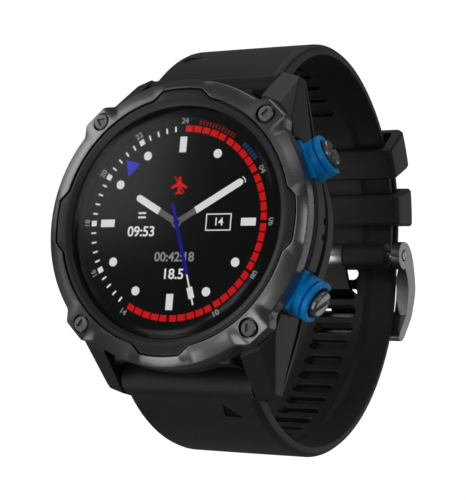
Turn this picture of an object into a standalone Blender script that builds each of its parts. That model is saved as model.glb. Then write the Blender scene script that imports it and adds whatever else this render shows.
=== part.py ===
"""Wrist dive computer, modelled as the real one comes apart.

Axes: +X to 3 o'clock, +Z to 12 o'clock, +Y towards the wrist, so the dial faces -Y.
The origin is the middle of the face that rests on the wrist. Meshes are drawn in
millimetres, and each object's scale turns them into metres.
"""

import math

import bmesh
import bpy
from mathutils import Matrix, Vector
from mathutils.geometry import interpolate_bezier

METRES = 0.001
GAP = 0.3  # clearance between touching pieces

# Depths along Y: the wrist face is at 0 and the dome's top at -CASE_DEPTH.
CASE_DEPTH = 17.8
BEZEL_TOP = -17.0
BEZEL_FLOOR = -15.5
BEZEL_BOTTOM = -13.3
CASE_TOP = BEZEL_BOTTOM + GAP
CASE_BOTTOM = -0.6
LENS_BOTTOM = -15.2
DIAL_FACE = LENS_BOTTOM + GAP
COVER_SHELF = -2.6

# Radii about Y
LENS_RADIUS = 20.4
DIAL_RADIUS = 18.9
CAVITY_RADIUS = 19.2
GROOVE_RADIUS = 23.2  # floor of the channel round the case's side
BEZEL_RADIUS = 25.3
INSERT_RADIUS = 22.1
TAB_RADIUS = 23.4
COVER_RADIUS = 22.0
WINDOW_RADIUS = 7.0

# The bezel's four screw lobes are the corners of a clipped rectangle.
LOBE_HALF_X = 19.9
LOBE_HALF_Z = 21.1
LOBE_CLIP = 26.66
LOBE_CLIP_DEG = 43.05
LOBE_CORNERS_DEG = (33.5, 38.3, 47.8, 51.9)
TAB_CORNERS_DEG = (9.5, 14.5)
BEZEL_SCREW_XZ = (16.35, 18.25)
REAR_SCREW_XZ = (14.35, 14.35)

# The sills fill the corner between the round case and each straight strap end.
SILL_HALF_X = 11.4
SILL_FRONT = -12.6
SILL_BACK = -4.6
SILL_IN = 19.8
SILL_OUT = 24.0

# Buttons: degrees from +X towards +Z, on one plane across the case
BUTTON_PLANE_Y = -9.0
BUTTON_DEG = {"start": 27.0, "back": -27.0, "light": 150.0, "up": 180.0, "down": 210.0}
GUARDED = ("start", "back")
BUTTON_FLOOR = 24.2
SPRING_FLOOR = 22.3
CAP_INNER = 25.4
CAP_OUTER = 27.0
GUARDED_CAP_OUTER = 29.2
GUARD_OUTER = 28.3
CAP_RADIUS = 2.35

# Straps
LUG_INSIDE = 13.3
LUG_PIN = (-4.2, 26.3)  # (y, |z|)
PIN_RADIUS = 0.75
STRAP_HALF_WIDTH = 12.9
STRAP_END_HALF_WIDTH = 12.4
STRAP_OUT = 1.5  # from the strap's middle line to its outer face
STRAP_IN = 1.5  # and to its raised inner band
STRAP_EYE = 2.8  # radius of the round end on the lug pin
ROOT_OUT = 2.5  # outward thickness at the lug pin, where the band is flush with that round end
ROOT_TAPER = 20.0  # how far along the strap it thins down to STRAP_OUT
EYE_JOIN = 1.3  # where the band starts, inside the wall of that round end
SLOT_HALF_LENGTH = 4.4
SLOT_HALF_HEIGHT = 1.2
SLOT_PITCH = 4.2
LOOP_CENTRE = (26.0, 8.7)  # the round back of the closed strap loop
UPPER_ARC_RADIUS = 29.55
UPPER_HEADING_DEG = 53.0  # how steeply each strap leaves its lug pin
LOWER_HEADING_DEG = 46.0
TAIL_ARC_RADIUS = 32.85
TAIL_END_DEG = 41.0
TONGUE_SLOT_Z = -0.8

# Buckle
BUCKLE_PIN = (54.0, 6.7)  # (y, z)
BUCKLE_PIN_RADIUS = 0.95
PIN_END = 16.2  # the pin's slotted ends stand just proud of the arms
ROLL_RADIUS = 2.7
ARM_INSIDE = 14.25
ARM_OUTSIDE = 16.0
CROSSBAR_FROM = (62.0, -5.2)
CROSSBAR_TO = (61.3, -8.9)
CROSSBAR_END = 13.65
ARM_STEP = (4.0, 2.0, 1.0)  # from this z, over this height, their inner faces step in by this much
ARM_BEND = (1.0, 11.0, 2.2)  # from this z, over this height, the arms close in by this much
TONGUE_HALF_WIDTH = 2.7
TONGUE_FLARE = 0.9  # the blade is this much wider on each side where it fills its slot
KEEPER_INNER_RADIUS = 34.65
KEEPER_OUTER_RADIUS = 36.2
KEEPER_HALF_WIDTH = 14.9
KEEPER_SPANS_DEG = {"keeper_1": (30.0, 43.8), "keeper_2": (9.3, 22.4)}

BIG = 48  # sides of the large turned pieces
SMALL = 16


# ---------------------------------------------------------------- materials


def material(name, colour, roughness, metallic=0.0, alpha=1.0):
    made = bpy.data.materials.new(name)
    made.use_nodes = True
    shader = made.node_tree.nodes["Principled BSDF"]
    shader.inputs["Base Color"].default_value = (*colour, 1.0)
    shader.inputs["Roughness"].default_value = roughness
    shader.inputs["Metallic"].default_value = metallic
    shader.inputs["Alpha"].default_value = alpha
    made.diffuse_color = (*colour, alpha)
    return made


def make_materials():
    return {
        "case_polymer": material("case_polymer", (0.035, 0.036, 0.038), 0.5),
        "bezel_metal": material("bezel_metal", (0.16, 0.16, 0.165), 0.33, 1.0),
        "insert_black": material("insert_black", (0.02, 0.02, 0.021), 0.45),
        "glass": material("glass", (0.6, 0.62, 0.65), 0.03, 0.0, 0.2),
        "rubber": material("rubber", (0.02, 0.02, 0.02), 0.8),
        "silicone": material("silicone", (0.022, 0.022, 0.023), 0.55),
        "dial": material("dial", (0.01, 0.01, 0.012), 0.3),
        "board": material("board", (0.02, 0.13, 0.06), 0.5),
        "battery_wrap": material("battery_wrap", (0.5, 0.5, 0.52), 0.45),
        "steel": material("steel", (0.5, 0.5, 0.52), 0.3, 1.0),
        "dark_steel": material("dark_steel", (0.2, 0.2, 0.21), 0.32, 1.0),
        "blue": material("blue", (0.0, 0.11, 0.36), 0.38, 0.4),
        "gold": material("gold", (0.7, 0.5, 0.2), 0.3, 1.0),
        "sensor_glass": material("sensor_glass", (0.01, 0.01, 0.012), 0.08),
    }


# ---------------------------------------------------------------- mesh helpers


def new_object(name, bm, mat, place=None):
    """The finished mesh as an object scaled to metres; place is its matrix, in millimetres."""
    bmesh.ops.recalc_face_normals(bm, faces=bm.faces)
    mesh = bpy.data.meshes.new(name)
    bm.to_mesh(mesh)
    bm.free()
    mesh.shade_smooth()
    mesh.set_sharp_from_angle(angle=math.radians(32))
    mesh.materials.append(mat)
    obj = bpy.data.objects.new(name, mesh)
    bpy.context.scene.collection.objects.link(obj)
    obj.matrix_world = Matrix.Scale(METRES, 4) @ (place or Matrix.Identity(4))
    return obj


def helper(name, bm, mat, place=None):
    """A cutter or a piece to be joined on, which isn't a part of its own."""
    obj = new_object(name, bm, mat, place)
    obj.hide_render = True
    obj.display_type = "WIRE"
    return obj


def boolean(obj, other, operation):
    step = obj.modifiers.new(f"{operation.lower()} {other.name}", "BOOLEAN")
    step.operation = operation
    step.object = other
    step.solver = "EXACT"


def turned(profile, steps=BIG, axis="Y"):
    """A closed (radius, height) outline turned through a full circle."""
    bm = bmesh.new()
    verts = [bm.verts.new((radius, height, 0.0)) for radius, height in profile]
    edges = [bm.edges.new((a, b)) for a, b in zip(verts, verts[1:] + verts[:1])]
    edges = [e for e in edges if max(v.co.x for v in e.verts) > 1e-6]
    bmesh.ops.spin(
        bm, geom=verts + edges, cent=(0, 0, 0), axis=(0, 1, 0),
        angle=math.tau, steps=steps, use_merge=True,
    )
    bmesh.ops.remove_doubles(bm, verts=bm.verts, dist=1e-4)
    loose = [e for e in bm.edges if not e.link_faces]
    bmesh.ops.delete(bm, geom=loose, context="EDGES")
    if axis == "X":
        bm.transform(Matrix.Rotation(-math.pi / 2, 4, "Z"))
    return bm


def rod(radius, x0, x1, steps=SMALL):
    """A plain cylinder along X."""
    return turned([(0, x0), (radius, x0), (radius, x1), (0, x1)], steps, axis="X")


def pipe(outer, inner, x0, x1, steps=SMALL):
    return turned([(inner, x0), (outer, x0), (outer, x1), (inner, x1)], steps, axis="X")


def box(low, high):
    bm = bmesh.new()
    bmesh.ops.create_cube(bm, size=1.0)
    size = Vector(high) - Vector(low)
    bm.transform(Matrix.Translation((Vector(low) + Vector(high)) / 2) @ Matrix.Diagonal((*size, 1)))
    return bm


def hull(points):
    bm = bmesh.new()
    for point in points:
        bm.verts.new(point)
    found = bmesh.ops.convex_hull(bm, input=bm.verts)
    unused = found["geom_interior"] + found["geom_unused"]
    inside = {v for v in unused if isinstance(v, bmesh.types.BMVert)}
    bmesh.ops.delete(bm, geom=list(inside), context="VERTS")
    return bm


def prism(outline, x0, x1):
    """A (y, z) outline extruded along X."""
    bm = bmesh.new()
    ends = [[bm.verts.new((x, y, z)) for y, z in outline] for x in (x0, x1)]
    bm.faces.new(ends[0])
    bm.faces.new(ends[1])
    for i in range(len(outline)):
        j = (i + 1) % len(outline)
        bm.faces.new((ends[0][i], ends[0][j], ends[1][j], ends[1][i]))
    return bm


def ring_of_loops(loops):
    """A closed ring skinned over loops of equal length, the last joined to the first."""
    bm = bmesh.new()
    rows = [[bm.verts.new(point) for point in loop] for loop in loops]
    for row, following in zip(rows, rows[1:] + rows[:1]):
        for i in range(len(row)):
            j = (i + 1) % len(row)
            bm.faces.new((row[i], row[j], following[j], following[i]))
    return bm


def joined(meshes):
    """Several meshes as one, for cutters that don't touch each other."""
    whole = bmesh.new()
    for bm in meshes:
        part = bpy.data.meshes.new("part")
        bm.to_mesh(part)
        bm.free()
        whole.from_mesh(part)
        bpy.data.meshes.remove(part)
    return whole


def moved(bm, matrix):
    bm.transform(matrix)
    return bm


# ---------------------------------------------------------------- paths in the strap's plane


def bezier_path(start, handle_a, handle_b, end, steps):
    points = interpolate_bezier(
        Vector((0, *start)), Vector((0, *handle_a)),
        Vector((0, *handle_b)), Vector((0, *end)), steps + 1,
    )
    return [(p.y, p.z) for p in points]


def arc_path(centre, radius, from_deg, to_deg, steps):
    angles = [math.radians(from_deg + (to_deg - from_deg) * i / steps) for i in range(steps + 1)]
    return [(centre[0] + radius * math.cos(a), centre[1] + radius * math.sin(a)) for a in angles]


def along(path, distance):
    """The point and the unit direction at a distance along a path of (y, z) points."""
    for (y0, z0), (y1, z1) in zip(path, path[1:]):
        step = math.hypot(y1 - y0, z1 - z0)
        if distance <= step or (y1, z1) == path[-1]:
            t = distance / step
            return Vector((y0 + (y1 - y0) * t, z0 + (z1 - z0) * t)), Vector((y1 - y0, z1 - z0)) / step
        distance -= step


def path_length(path):
    return sum(math.dist(a, b) for a, b in zip(path, path[1:]))


def distance_to_z(path, z):
    """How far along the rising path it first passes height z."""
    travelled = 0.0
    for a, b in zip(path, path[1:]):
        if a[1] < z <= b[1]:
            return travelled + math.dist(a, b) * (z - a[1]) / (b[1] - a[1])
        travelled += math.dist(a, b)
    return travelled


def thick_line(path, half_widths, round_steps=5):
    """The outline of a line of changing width, with round ends."""
    count = len(path)
    left, right = [], []
    for i, (y, z) in enumerate(path):
        before, after = path[max(i - 1, 0)], path[min(i + 1, count - 1)]
        dy, dz = after[0] - before[0], after[1] - before[1]
        size = math.hypot(dy, dz)
        w = half_widths[i]
        left.append((y - dz / size * w, z + dy / size * w))
        right.append((y + dz / size * w, z - dy / size * w))
    outline = list(left)
    for centre, start, w in ((path[-1], left[-1], half_widths[-1]), (path[0], right[0], half_widths[0])):
        first = math.atan2(start[1] - centre[1], start[0] - centre[0])
        for k in range(1, round_steps):
            a = first - math.pi * k / round_steps
            outline.append((centre[0] + w * math.cos(a), centre[1] + w * math.sin(a)))
        if centre is path[-1]:
            outline += right[::-1]
    return outline


# ---------------------------------------------------------------- case


def ring_angles():
    """Clock angles in degrees for the bezel's outline: even steps and every corner."""
    quarter = {7.5 * k for k in range(12)} | set(LOBE_CORNERS_DEG) | set(TAB_CORNERS_DEG)
    quarter |= {90 - corner for corner in TAB_CORNERS_DEG}
    quarter -= {37.5, 52.5, 15.0, 75.0, 82.5, 7.5}
    folded = sorted(quarter)
    return [a for turn in range(4) for a in sorted(fold(turn, q) for q in folded)]


def fold(turn, degrees):
    """The angle in quarter turn that mirrors one in the first quarter."""
    return turn * 90 + (degrees if turn % 2 == 0 else 90 - degrees) if degrees else turn * 90


def clock_point(radius, degrees, y):
    a = math.radians(degrees)
    return (radius * math.sin(a), y, radius * math.cos(a))


def first_quarter(degrees):
    degrees = degrees % 180
    return degrees if degrees <= 90 else 180 - degrees


def bezel_outer(degrees):
    a = math.radians(first_quarter(degrees))
    lobe = min(
        LOBE_HALF_X / max(math.sin(a), 1e-6),
        LOBE_HALF_Z / max(math.cos(a), 1e-6),
        LOBE_CLIP / math.cos(a - math.radians(LOBE_CLIP_DEG)),
    )
    return max(BEZEL_RADIUS, lobe)


def insert_outer(degrees):
    from_tab = min(first_quarter(degrees), 90 - first_quarter(degrees))
    inner, outer = TAB_CORNERS_DEG
    share = min(max((outer - from_tab) / (outer - inner), 0.0), 1.0)
    return INSERT_RADIUS + share * (TAB_RADIUS - INSERT_RADIUS)


def clock_loop(radius_at, y):
    return [clock_point(radius_at(a), a, y) for a in ring_angles()]


def four_corners(x, z):
    return [(sx * x, sz * z) for sz in (1, -1) for sx in (1, -1)]


def make_bezel(mats):
    chamfer = 0.8
    loops = [
        clock_loop(bezel_outer, BEZEL_BOTTOM),
        clock_loop(bezel_outer, BEZEL_TOP + chamfer),
        clock_loop(lambda a: bezel_outer(a) - chamfer, BEZEL_TOP),
        clock_loop(lambda a: insert_outer(a) + GAP, BEZEL_TOP),
        clock_loop(lambda a: insert_outer(a) + GAP, BEZEL_FLOOR),
        clock_loop(lambda a: LENS_RADIUS + GAP, BEZEL_FLOOR),
        clock_loop(lambda a: LENS_RADIUS + GAP, BEZEL_BOTTOM),
    ]
    bezel = new_object("bezel", ring_of_loops(loops), mats["bezel_metal"])
    bores = []
    for x, z in four_corners(*BEZEL_SCREW_XZ):
        profile = [(0, -18), (1.75, -18), (1.75, -15.6), (1.05, -15.6), (1.05, -12.5), (0, -12.5)]
        bores.append(moved(turned(profile, SMALL), Matrix.Translation((x, 0, z))))
    boolean(bezel, helper("bezel_bores", joined(bores), mats["steel"]), "DIFFERENCE")


def make_bezel_insert(mats):
    top = BEZEL_TOP + 0.2
    bottom = BEZEL_FLOOR - GAP
    inner = LENS_RADIUS + GAP
    loops = [
        clock_loop(insert_outer, bottom),
        clock_loop(insert_outer, top),
        clock_loop(lambda a: inner, top),
        clock_loop(lambda a: inner, bottom),
    ]
    new_object("bezel_insert", ring_of_loops(loops), mats["insert_black"])


def make_lens(mats):
    profile = [
        (0, LENS_BOTTOM), (LENS_RADIUS, LENS_BOTTOM), (LENS_RADIUS, -16.6),
        (19.8, -16.95), (14.0, -17.4), (7.0, -17.7), (0, -CASE_DEPTH),
    ]
    new_object("lens", turned(profile), mats["glass"])


def make_flat_rings(mats):
    lip_top = -13.9
    gasket = [
        (19.3, DIAL_FACE), (20.3, DIAL_FACE), (20.3, lip_top - GAP), (19.3, lip_top - GAP),
    ]
    new_object("lens_gasket", turned(gasket), mats["rubber"])
    rear = [(17.7, -2.3), (18.7, -2.3), (18.7, -1.7), (17.7, -1.7)]
    new_object("rear_gasket", turned(rear), mats["rubber"])


def make_inside(mats):
    dial = [(0, DIAL_FACE), (DIAL_RADIUS, DIAL_FACE), (DIAL_RADIUS, -13.6), (0, -13.6)]
    new_object("display_panel", turned(dial), mats["dial"])
    board = [(0, -13.1), (18.0, -13.1), (18.0, -12.3), (0, -12.3)]
    new_object("main_board", turned(board, 32), mats["board"])
    cell = box((-13.5, -11.9, -11.5), (12.5, -7.0, 11.5))
    bmesh.ops.bevel(
        cell, geom=[e for e in cell.edges if abs(e.verts[0].co.y - e.verts[1].co.y) > 1],
        offset=2.0, segments=3, affect="EDGES", profile=0.5,
    )
    new_object("battery", cell, mats["battery_wrap"])
    motor = [(0, -6.6), (4.0, -6.6), (4.0, -3.9), (0, -3.9)]
    new_object("vibration_motor", turned(motor, 20), mats["steel"], Matrix.Translation((-9.0, 0, 5.0)))
    new_object("depth_sensor", rod(2.6, 13.4, 18.0), mats["steel"], Matrix.Translation((0, -8.9, -0.35)))


def lug_points(sx, sz):
    inside = LUG_INSIDE
    top = CASE_TOP + 0.05
    first = [
        (inside, top, 18.5), (inside, top, 22.7), (17.0, top, 21.3),
        (19.6, top, 18.2), (20.6, top, 14.1),
        (inside, -5.4, 29.2), (16.6, -4.9, 28.3), (inside, -2.0, 29.4), (16.6, -2.0, 28.4),
        (18.5, -8.8, 21.6), (inside, -1.0, 26.0), (16.6, -1.0, 25.3),
        (18.3, -1.0, 20.0), (inside, -1.0, 18.5), (20.6, -4.0, 14.1),
    ]
    return [(sx * x, y, sz * z) for x, y, z in first]


def along_button(degrees):
    """Turns local +X into the direction of a button, on the buttons' plane."""
    return Matrix.Translation((0, BUTTON_PLANE_Y, 0)) @ Matrix.Rotation(-math.radians(degrees), 4, "Y")


def button_bore(guarded):
    """The stepped hole for a button: shaft bore, spring pocket and outer recess."""
    recess = 2.9 if not guarded else 2.5
    profile = [
        (0, 16.0), (1.8, 16.0), (1.8, SPRING_FLOOR), (2.2, SPRING_FLOOR), (2.2, BUTTON_FLOOR),
        (recess, BUTTON_FLOOR), (recess, 34.0), (0, 34.0),
    ]
    return moved(turned(profile, SMALL, axis="X"), Matrix.Rotation(math.radians(7), 4, "X"))


def case_body_profile():
    return [
        (LENS_RADIUS, -13.9), (CAVITY_RADIUS, -13.9), (CAVITY_RADIUS, -4.0), (17.4, -4.0),
        (17.4, COVER_SHELF), (COVER_RADIUS + GAP, COVER_SHELF), (COVER_RADIUS + GAP, CASE_BOTTOM),
        (23.0, CASE_BOTTOM), (23.6, -1.1), (24.4, -5.3),
        (GROOVE_RADIUS, -5.7), (GROOVE_RADIUS, -7.3), (25.0, -8.2), (25.5, -9.2),
        (25.6, -12.4), (25.2, CASE_TOP), (LENS_RADIUS, CASE_TOP),
    ]


def make_mid_case(mats):
    case = new_object("mid_case", turned(case_body_profile()), mats["case_polymer"])
    for sx in (1, -1):
        for sz in (1, -1):
            lug = helper(f"lug_{sx}_{sz}", hull(lug_points(sx, sz)), mats["case_polymer"])
            boolean(case, lug, "UNION")
    sills = joined([box((-SILL_HALF_X, SILL_FRONT, -SILL_OUT), (SILL_HALF_X, SILL_BACK, -SILL_IN)),
                    box((-SILL_HALF_X, SILL_FRONT, SILL_IN), (SILL_HALF_X, SILL_BACK, SILL_OUT))])
    boolean(case, helper("case_sills", sills, mats["case_polymer"]), "UNION")
    bores = []
    recesses = []
    for name, degrees in BUTTON_DEG.items():
        bores.append(moved(button_bore(name in GUARDED), along_button(degrees)))
        if name in GUARDED:
            seat = box((BUTTON_FLOOR, -4.2, -4.2), (34.0, 4.2, 4.2))
            recesses.append(moved(seat, along_button(degrees)))
    for side in (1, -1):
        relief = rod(STRAP_EYE + GAP, -13.2, 13.2, 24)
        recesses.append(moved(relief, Matrix.Translation((0, LUG_PIN[0], side * LUG_PIN[1]))))
    boolean(case, helper("case_recesses", joined(recesses), mats["steel"]), "DIFFERENCE")
    for x, z in four_corners(*BEZEL_SCREW_XZ):
        bores.append(moved(turned([(0, -15), (1.05, -15), (1.05, -7.6), (0, -7.6)], SMALL),
                           Matrix.Translation((x, 0, z))))
    for x, z in four_corners(*REAR_SCREW_XZ):
        bores.append(moved(turned([(0, -6.4), (0.95, -6.4), (0.95, -1.0), (0, -1.0)], SMALL),
                           Matrix.Translation((x, 0, z))))
    for z in (1.0, -1.7):
        bores.append(box((18.0, -9.9, z - 0.55), (28.0, -9.0, z + 0.55)))
    for y, z in ((LUG_PIN[0], LUG_PIN[1]), (LUG_PIN[0], -LUG_PIN[1])):
        for x0, x1 in ((12.0, 16.1), (-16.1, -12.0)):
            bores.append(moved(rod(PIN_RADIUS + GAP, x0, x1, 12), Matrix.Translation((0, y, z))))
    boolean(case, helper("case_bores", joined(bores), mats["steel"]), "DIFFERENCE")


def make_rear_cover(mats):
    rear = -1.4
    profile = [
        (6.0, rear), (COVER_RADIUS, rear), (COVER_RADIUS, -0.7), (21.3, 0.0),
        (WINDOW_RADIUS + GAP, 0.0), (WINDOW_RADIUS + GAP, -0.9), (6.0, -0.9),
    ]
    cover = new_object("rear_cover", turned(profile), mats["dark_steel"])
    cuts = [box((-4.9, -3.0, -14.9), (4.9, 2.0, -11.1))]
    for x, z in four_corners(*REAR_SCREW_XZ):
        hole = [(0, -3), (0.95, -3), (0.95, -1.0), (1.45, -1.0), (1.45, 2), (0, 2)]
        cuts.append(moved(turned(hole, SMALL), Matrix.Translation((x, 0, z))))
    boolean(cover, helper("cover_cuts", joined(cuts), mats["steel"]), "DIFFERENCE")
    window = [(0, -0.6), (WINDOW_RADIUS, -0.6), (WINDOW_RADIUS, 0.0), (0, 0.0)]
    new_object("sensor_window", turned(window, 32), mats["sensor_glass"])


def make_charge_port(mats):
    block = new_object("charge_port", box((-4.6, -1.6, -14.6), (4.6, -0.15, -11.4)), mats["case_polymer"])
    holes = []
    for i in range(4):
        centre = Matrix.Translation((-3.3 + 2.2 * i, 0, -13.0))
        holes.append(moved(turned([(0, -3), (0.85, -3), (0.85, 1), (0, 1)], 12), centre))
        contact = [(0, -1.9), (0.55, -1.9), (0.55, -0.25), (0, -0.25)]
        new_object(f"charge_contact_{i + 1}", turned(contact, 12), mats["gold"], centre)
    boolean(block, helper("contact_holes", joined(holes), mats["steel"]), "DIFFERENCE")


def triangle_recess(radius, y0, y1):
    """A three-sided driver recess about Y."""
    corners = [(radius * math.sin(a), radius * math.cos(a)) for a in (0.0, math.tau / 3, 2 * math.tau / 3)]
    return hull([(x, y, z) for x, z in corners for y in (y0, y1)])


def make_screws(mats):
    bezel_profile = [(0, -16.8), (1.4, -16.8), (1.4, -15.9), (0.75, -15.9), (0.75, -8.0), (0, -8.0)]
    rear_profile = [(0, -6.0), (0.65, -6.0), (0.65, -0.7), (1.15, -0.7), (1.15, -0.1), (0, -0.1)]
    groups = (
        ("bezel_screw", bezel_profile, BEZEL_SCREW_XZ, (-18.0, -16.4)),
        ("rear_screw", rear_profile, REAR_SCREW_XZ, (-0.4, 1.0)),
    )
    for name, profile, (x, z), (y0, y1) in groups:
        for i, (cx, cz) in enumerate(four_corners(x, z)):
            place = Matrix.Translation((cx, 0, cz)) @ Matrix.Rotation(math.radians(20 + 35 * i), 4, "Y")
            screw = new_object(f"{name}_{i + 1}", turned(profile, SMALL), mats["steel"], place)
            size = 0.95 if name == "bezel_screw" else 0.75
            cutter = helper(f"{name}_{i + 1}_recess", triangle_recess(size, y0, y1), mats["steel"], place)
            boolean(screw, cutter, "DIFFERENCE")


# ---------------------------------------------------------------- buttons


def make_button(name, degrees, mats):
    place = along_button(degrees)
    end = GUARDED_CAP_OUTER if name in GUARDED else CAP_OUTER
    profile = [
        (0, 18.6), (1.1, 18.6), (1.1, CAP_INNER), (CAP_RADIUS, CAP_INNER),
        (CAP_RADIUS, end - 0.35), (CAP_RADIUS - 0.35, end), (0, end),
    ]
    cap = new_object(f"button_{name}", turned(profile, 20, axis="X"), mats["dark_steel"], place)
    groove = moved(box((end - 0.7, -4, -0.4), (end + 1, 4, 0.4)), Matrix.Rotation(0.7, 4, "X"))
    if name in GUARDED:
        boolean(cap, helper(f"groove_{name}", groove, mats["steel"], place), "DIFFERENCE")
    new_object(f"seal_{name}", pipe(1.65, 1.25, 20.2, 21.2, 14), mats["rubber"], place)
    new_object(f"spring_{name}", coil(SPRING_FLOOR + 0.2, CAP_INNER - 0.2), mats["steel"], place)


def coil(x0, x1, turns=3, sides=10, radius=1.62, wire=0.2):
    """A small compression spring along X, of square wire."""
    bm = bmesh.new()
    rows = []
    for k in range(turns * sides + 1):
        a = math.tau * k / sides
        x = x0 + wire + (x1 - x0 - 2 * wire) * k / (turns * sides)
        corners = ((radius - wire, x - wire), (radius + wire, x - wire),
                   (radius + wire, x + wire), (radius - wire, x + wire))
        rows.append([bm.verts.new((cx, r * math.cos(a), r * math.sin(a))) for r, cx in corners])
    for row, following in zip(rows, rows[1:]):
        for i in range(4):
            j = (i + 1) % 4
            bm.faces.new((row[i], row[j], following[j], following[i]))
    bm.faces.new(rows[0])
    bm.faces.new(rows[-1])
    return bm


def make_guard(name, degrees, mats):
    """The blue collar: a ring that is open towards the wrist, with a foot under the bezel."""
    place = along_button(degrees)
    inner, outer = CAP_RADIUS + 0.4, 3.7
    start, sweep, steps = 52.0, 256.0, 20
    bm = bmesh.new()
    rows = []
    for k in range(steps + 1):
        a = math.radians(start + sweep * k / steps)
        corners = ((inner, 24.5), (outer, 24.5), (outer, GUARD_OUTER - 0.4),
                   (outer - 0.35, GUARD_OUTER), (inner, GUARD_OUTER))
        rows.append([bm.verts.new((x, r * math.cos(a), r * math.sin(a))) for r, x in corners])
    for row, following in zip(rows, rows[1:]):
        for i in range(5):
            j = (i + 1) % 5
            bm.faces.new((row[i], row[j], following[j], following[i]))
    bm.faces.new(rows[0])
    bm.faces.new(rows[-1])
    guard = new_object(f"guard_{name}", bm, mats["blue"], place)
    low, high = (-4.0, 3.3) if degrees > 0 else (-3.3, 4.0)
    foot = helper(f"foot_{name}", box((24.5, -3.95, low), (25.6, -3.0, high)), mats["blue"], place)
    boolean(guard, foot, "UNION")


# ---------------------------------------------------------------- straps


def handle(point, degrees, length):
    a = math.radians(degrees)
    return (point[0] + length * math.cos(a), point[1] + length * math.sin(a))


def upper_path():
    """Middle line of the short strap, from its lug pin to the buckle pin."""
    first = LUG_PIN
    arc_from = 58.0
    meet = handle(LOOP_CENTRE, arc_from, UPPER_ARC_RADIUS)
    rise = bezier_path(first, handle(first, UPPER_HEADING_DEG, 19), handle(meet, arc_from + 90, 19), meet, 18)
    back = arc_path(LOOP_CENTRE, UPPER_ARC_RADIUS, arc_from, -2.5, 14)
    return rise + back[1:]


def lower_path():
    """Middle line of the long strap, from its lug pin round to the tail under the keepers."""
    first = (LUG_PIN[0], -LUG_PIN[1])
    low = (57.4, -10.5)
    meet = handle(LOOP_CENTRE, 0, TAIL_ARC_RADIUS)
    sweep = bezier_path(first, handle(first, -LOWER_HEADING_DEG, 25), handle(low, 248, 28), low, 24)
    rise = bezier_path(low, handle(low, 68, 6.4), handle(meet, -90, 6.4), meet, 6)
    tail = arc_path(LOOP_CENTRE, TAIL_ARC_RADIUS, 0, TAIL_END_DEG, 9)
    return sweep + rise[1:] + tail[1:]


def strap_section(travelled, total):
    """Half the (x, outward) cross-section: full thickness at the lug, thinner further on."""
    share = travelled / total
    thick = 1.0 + 0.3 * max(0.0, 1 - share * 6)
    out = STRAP_OUT + (ROOT_OUT - STRAP_OUT) * max(0.0, 1 - travelled / ROOT_TAPER) ** 1.3
    half = STRAP_HALF_WIDTH + (STRAP_END_HALF_WIDTH - STRAP_HALF_WIDTH) * share
    return half, [
        (half, out - 0.7), (half - 0.9, out),
    ], [
        (6.4, -STRAP_IN * thick), (7.6, -0.95 * thick), (half, -0.5 * thick),
    ]


def strap_band(path, outward, tip_length=0.0):
    """The flat band swept along a path; outward is +1 when it is on the path's left."""
    bm = bmesh.new()
    total = path_length(path)
    rows = []
    travelled = 0.0
    for i, (y, z) in enumerate(path):
        before, after = path[max(i - 1, 0)], path[min(i + 1, len(path) - 1)]
        if i:
            travelled += math.dist(path[i - 1], path[i])
        dy, dz = after[0] - before[0], after[1] - before[1]
        size = math.hypot(dy, dz)
        ny, nz = -dz / size * outward, dy / size * outward
        half, top, under = strap_section(travelled, total)
        left_over = total - travelled
        squeeze = 1.0
        if tip_length and left_over < tip_length:
            squeeze = 0.72 + 0.28 * math.sqrt(1 - (1 - left_over / tip_length) ** 2)
        right = under + top
        points = right + [(-x, n) for x, n in reversed(right)]
        rows.append([bm.verts.new((x * squeeze, y + ny * n, z + nz * n)) for x, n in points])
    for row, following in zip(rows, rows[1:]):
        for i in range(len(row)):
            j = (i + 1) % len(row)
            bm.faces.new((row[i], row[j], following[j], following[i]))
    bm.faces.new(rows[0])
    bm.faces.new(rows[-1])
    return bm


def frame_at(path, distance, outward):
    """A matrix whose X, Y and Z are across, along and outward from the strap at a distance."""
    point, direction = along(path, distance)
    normal = Vector((-direction.y, direction.x)) * outward
    across = Vector((1, 0, 0))
    ahead = Vector((0, direction.x, direction.y))
    out = Vector((0, normal.x, normal.y))
    turn = Matrix((across, ahead, out)).transposed().to_4x4()
    return Matrix.Translation((0, point.x, point.y)) @ turn


def slot_cutter(low, high):
    """A slot with round ends, upright between two heights."""
    outline = []
    for side in (1, -1):
        for k in range(5):
            a = math.radians(-90 + 45 * k) if side > 0 else math.radians(90 + 45 * k)
            outline.append((
                side * (SLOT_HALF_LENGTH - SLOT_HALF_HEIGHT) + SLOT_HALF_HEIGHT * math.cos(a),
                SLOT_HALF_HEIGHT * math.sin(a),
            ))
    bm = bmesh.new()
    ends = [[bm.verts.new((x, t, n)) for x, t in outline] for n in (low, high)]
    bm.faces.new(ends[0])
    bm.faces.new(ends[1])
    for i in range(len(outline)):
        j = (i + 1) % len(outline)
        bm.faces.new((ends[0][i], ends[0][j], ends[1][j], ends[1][i]))
    return bm


def latch_place(path, outward):
    return frame_at(path, 0.5, outward)


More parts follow.
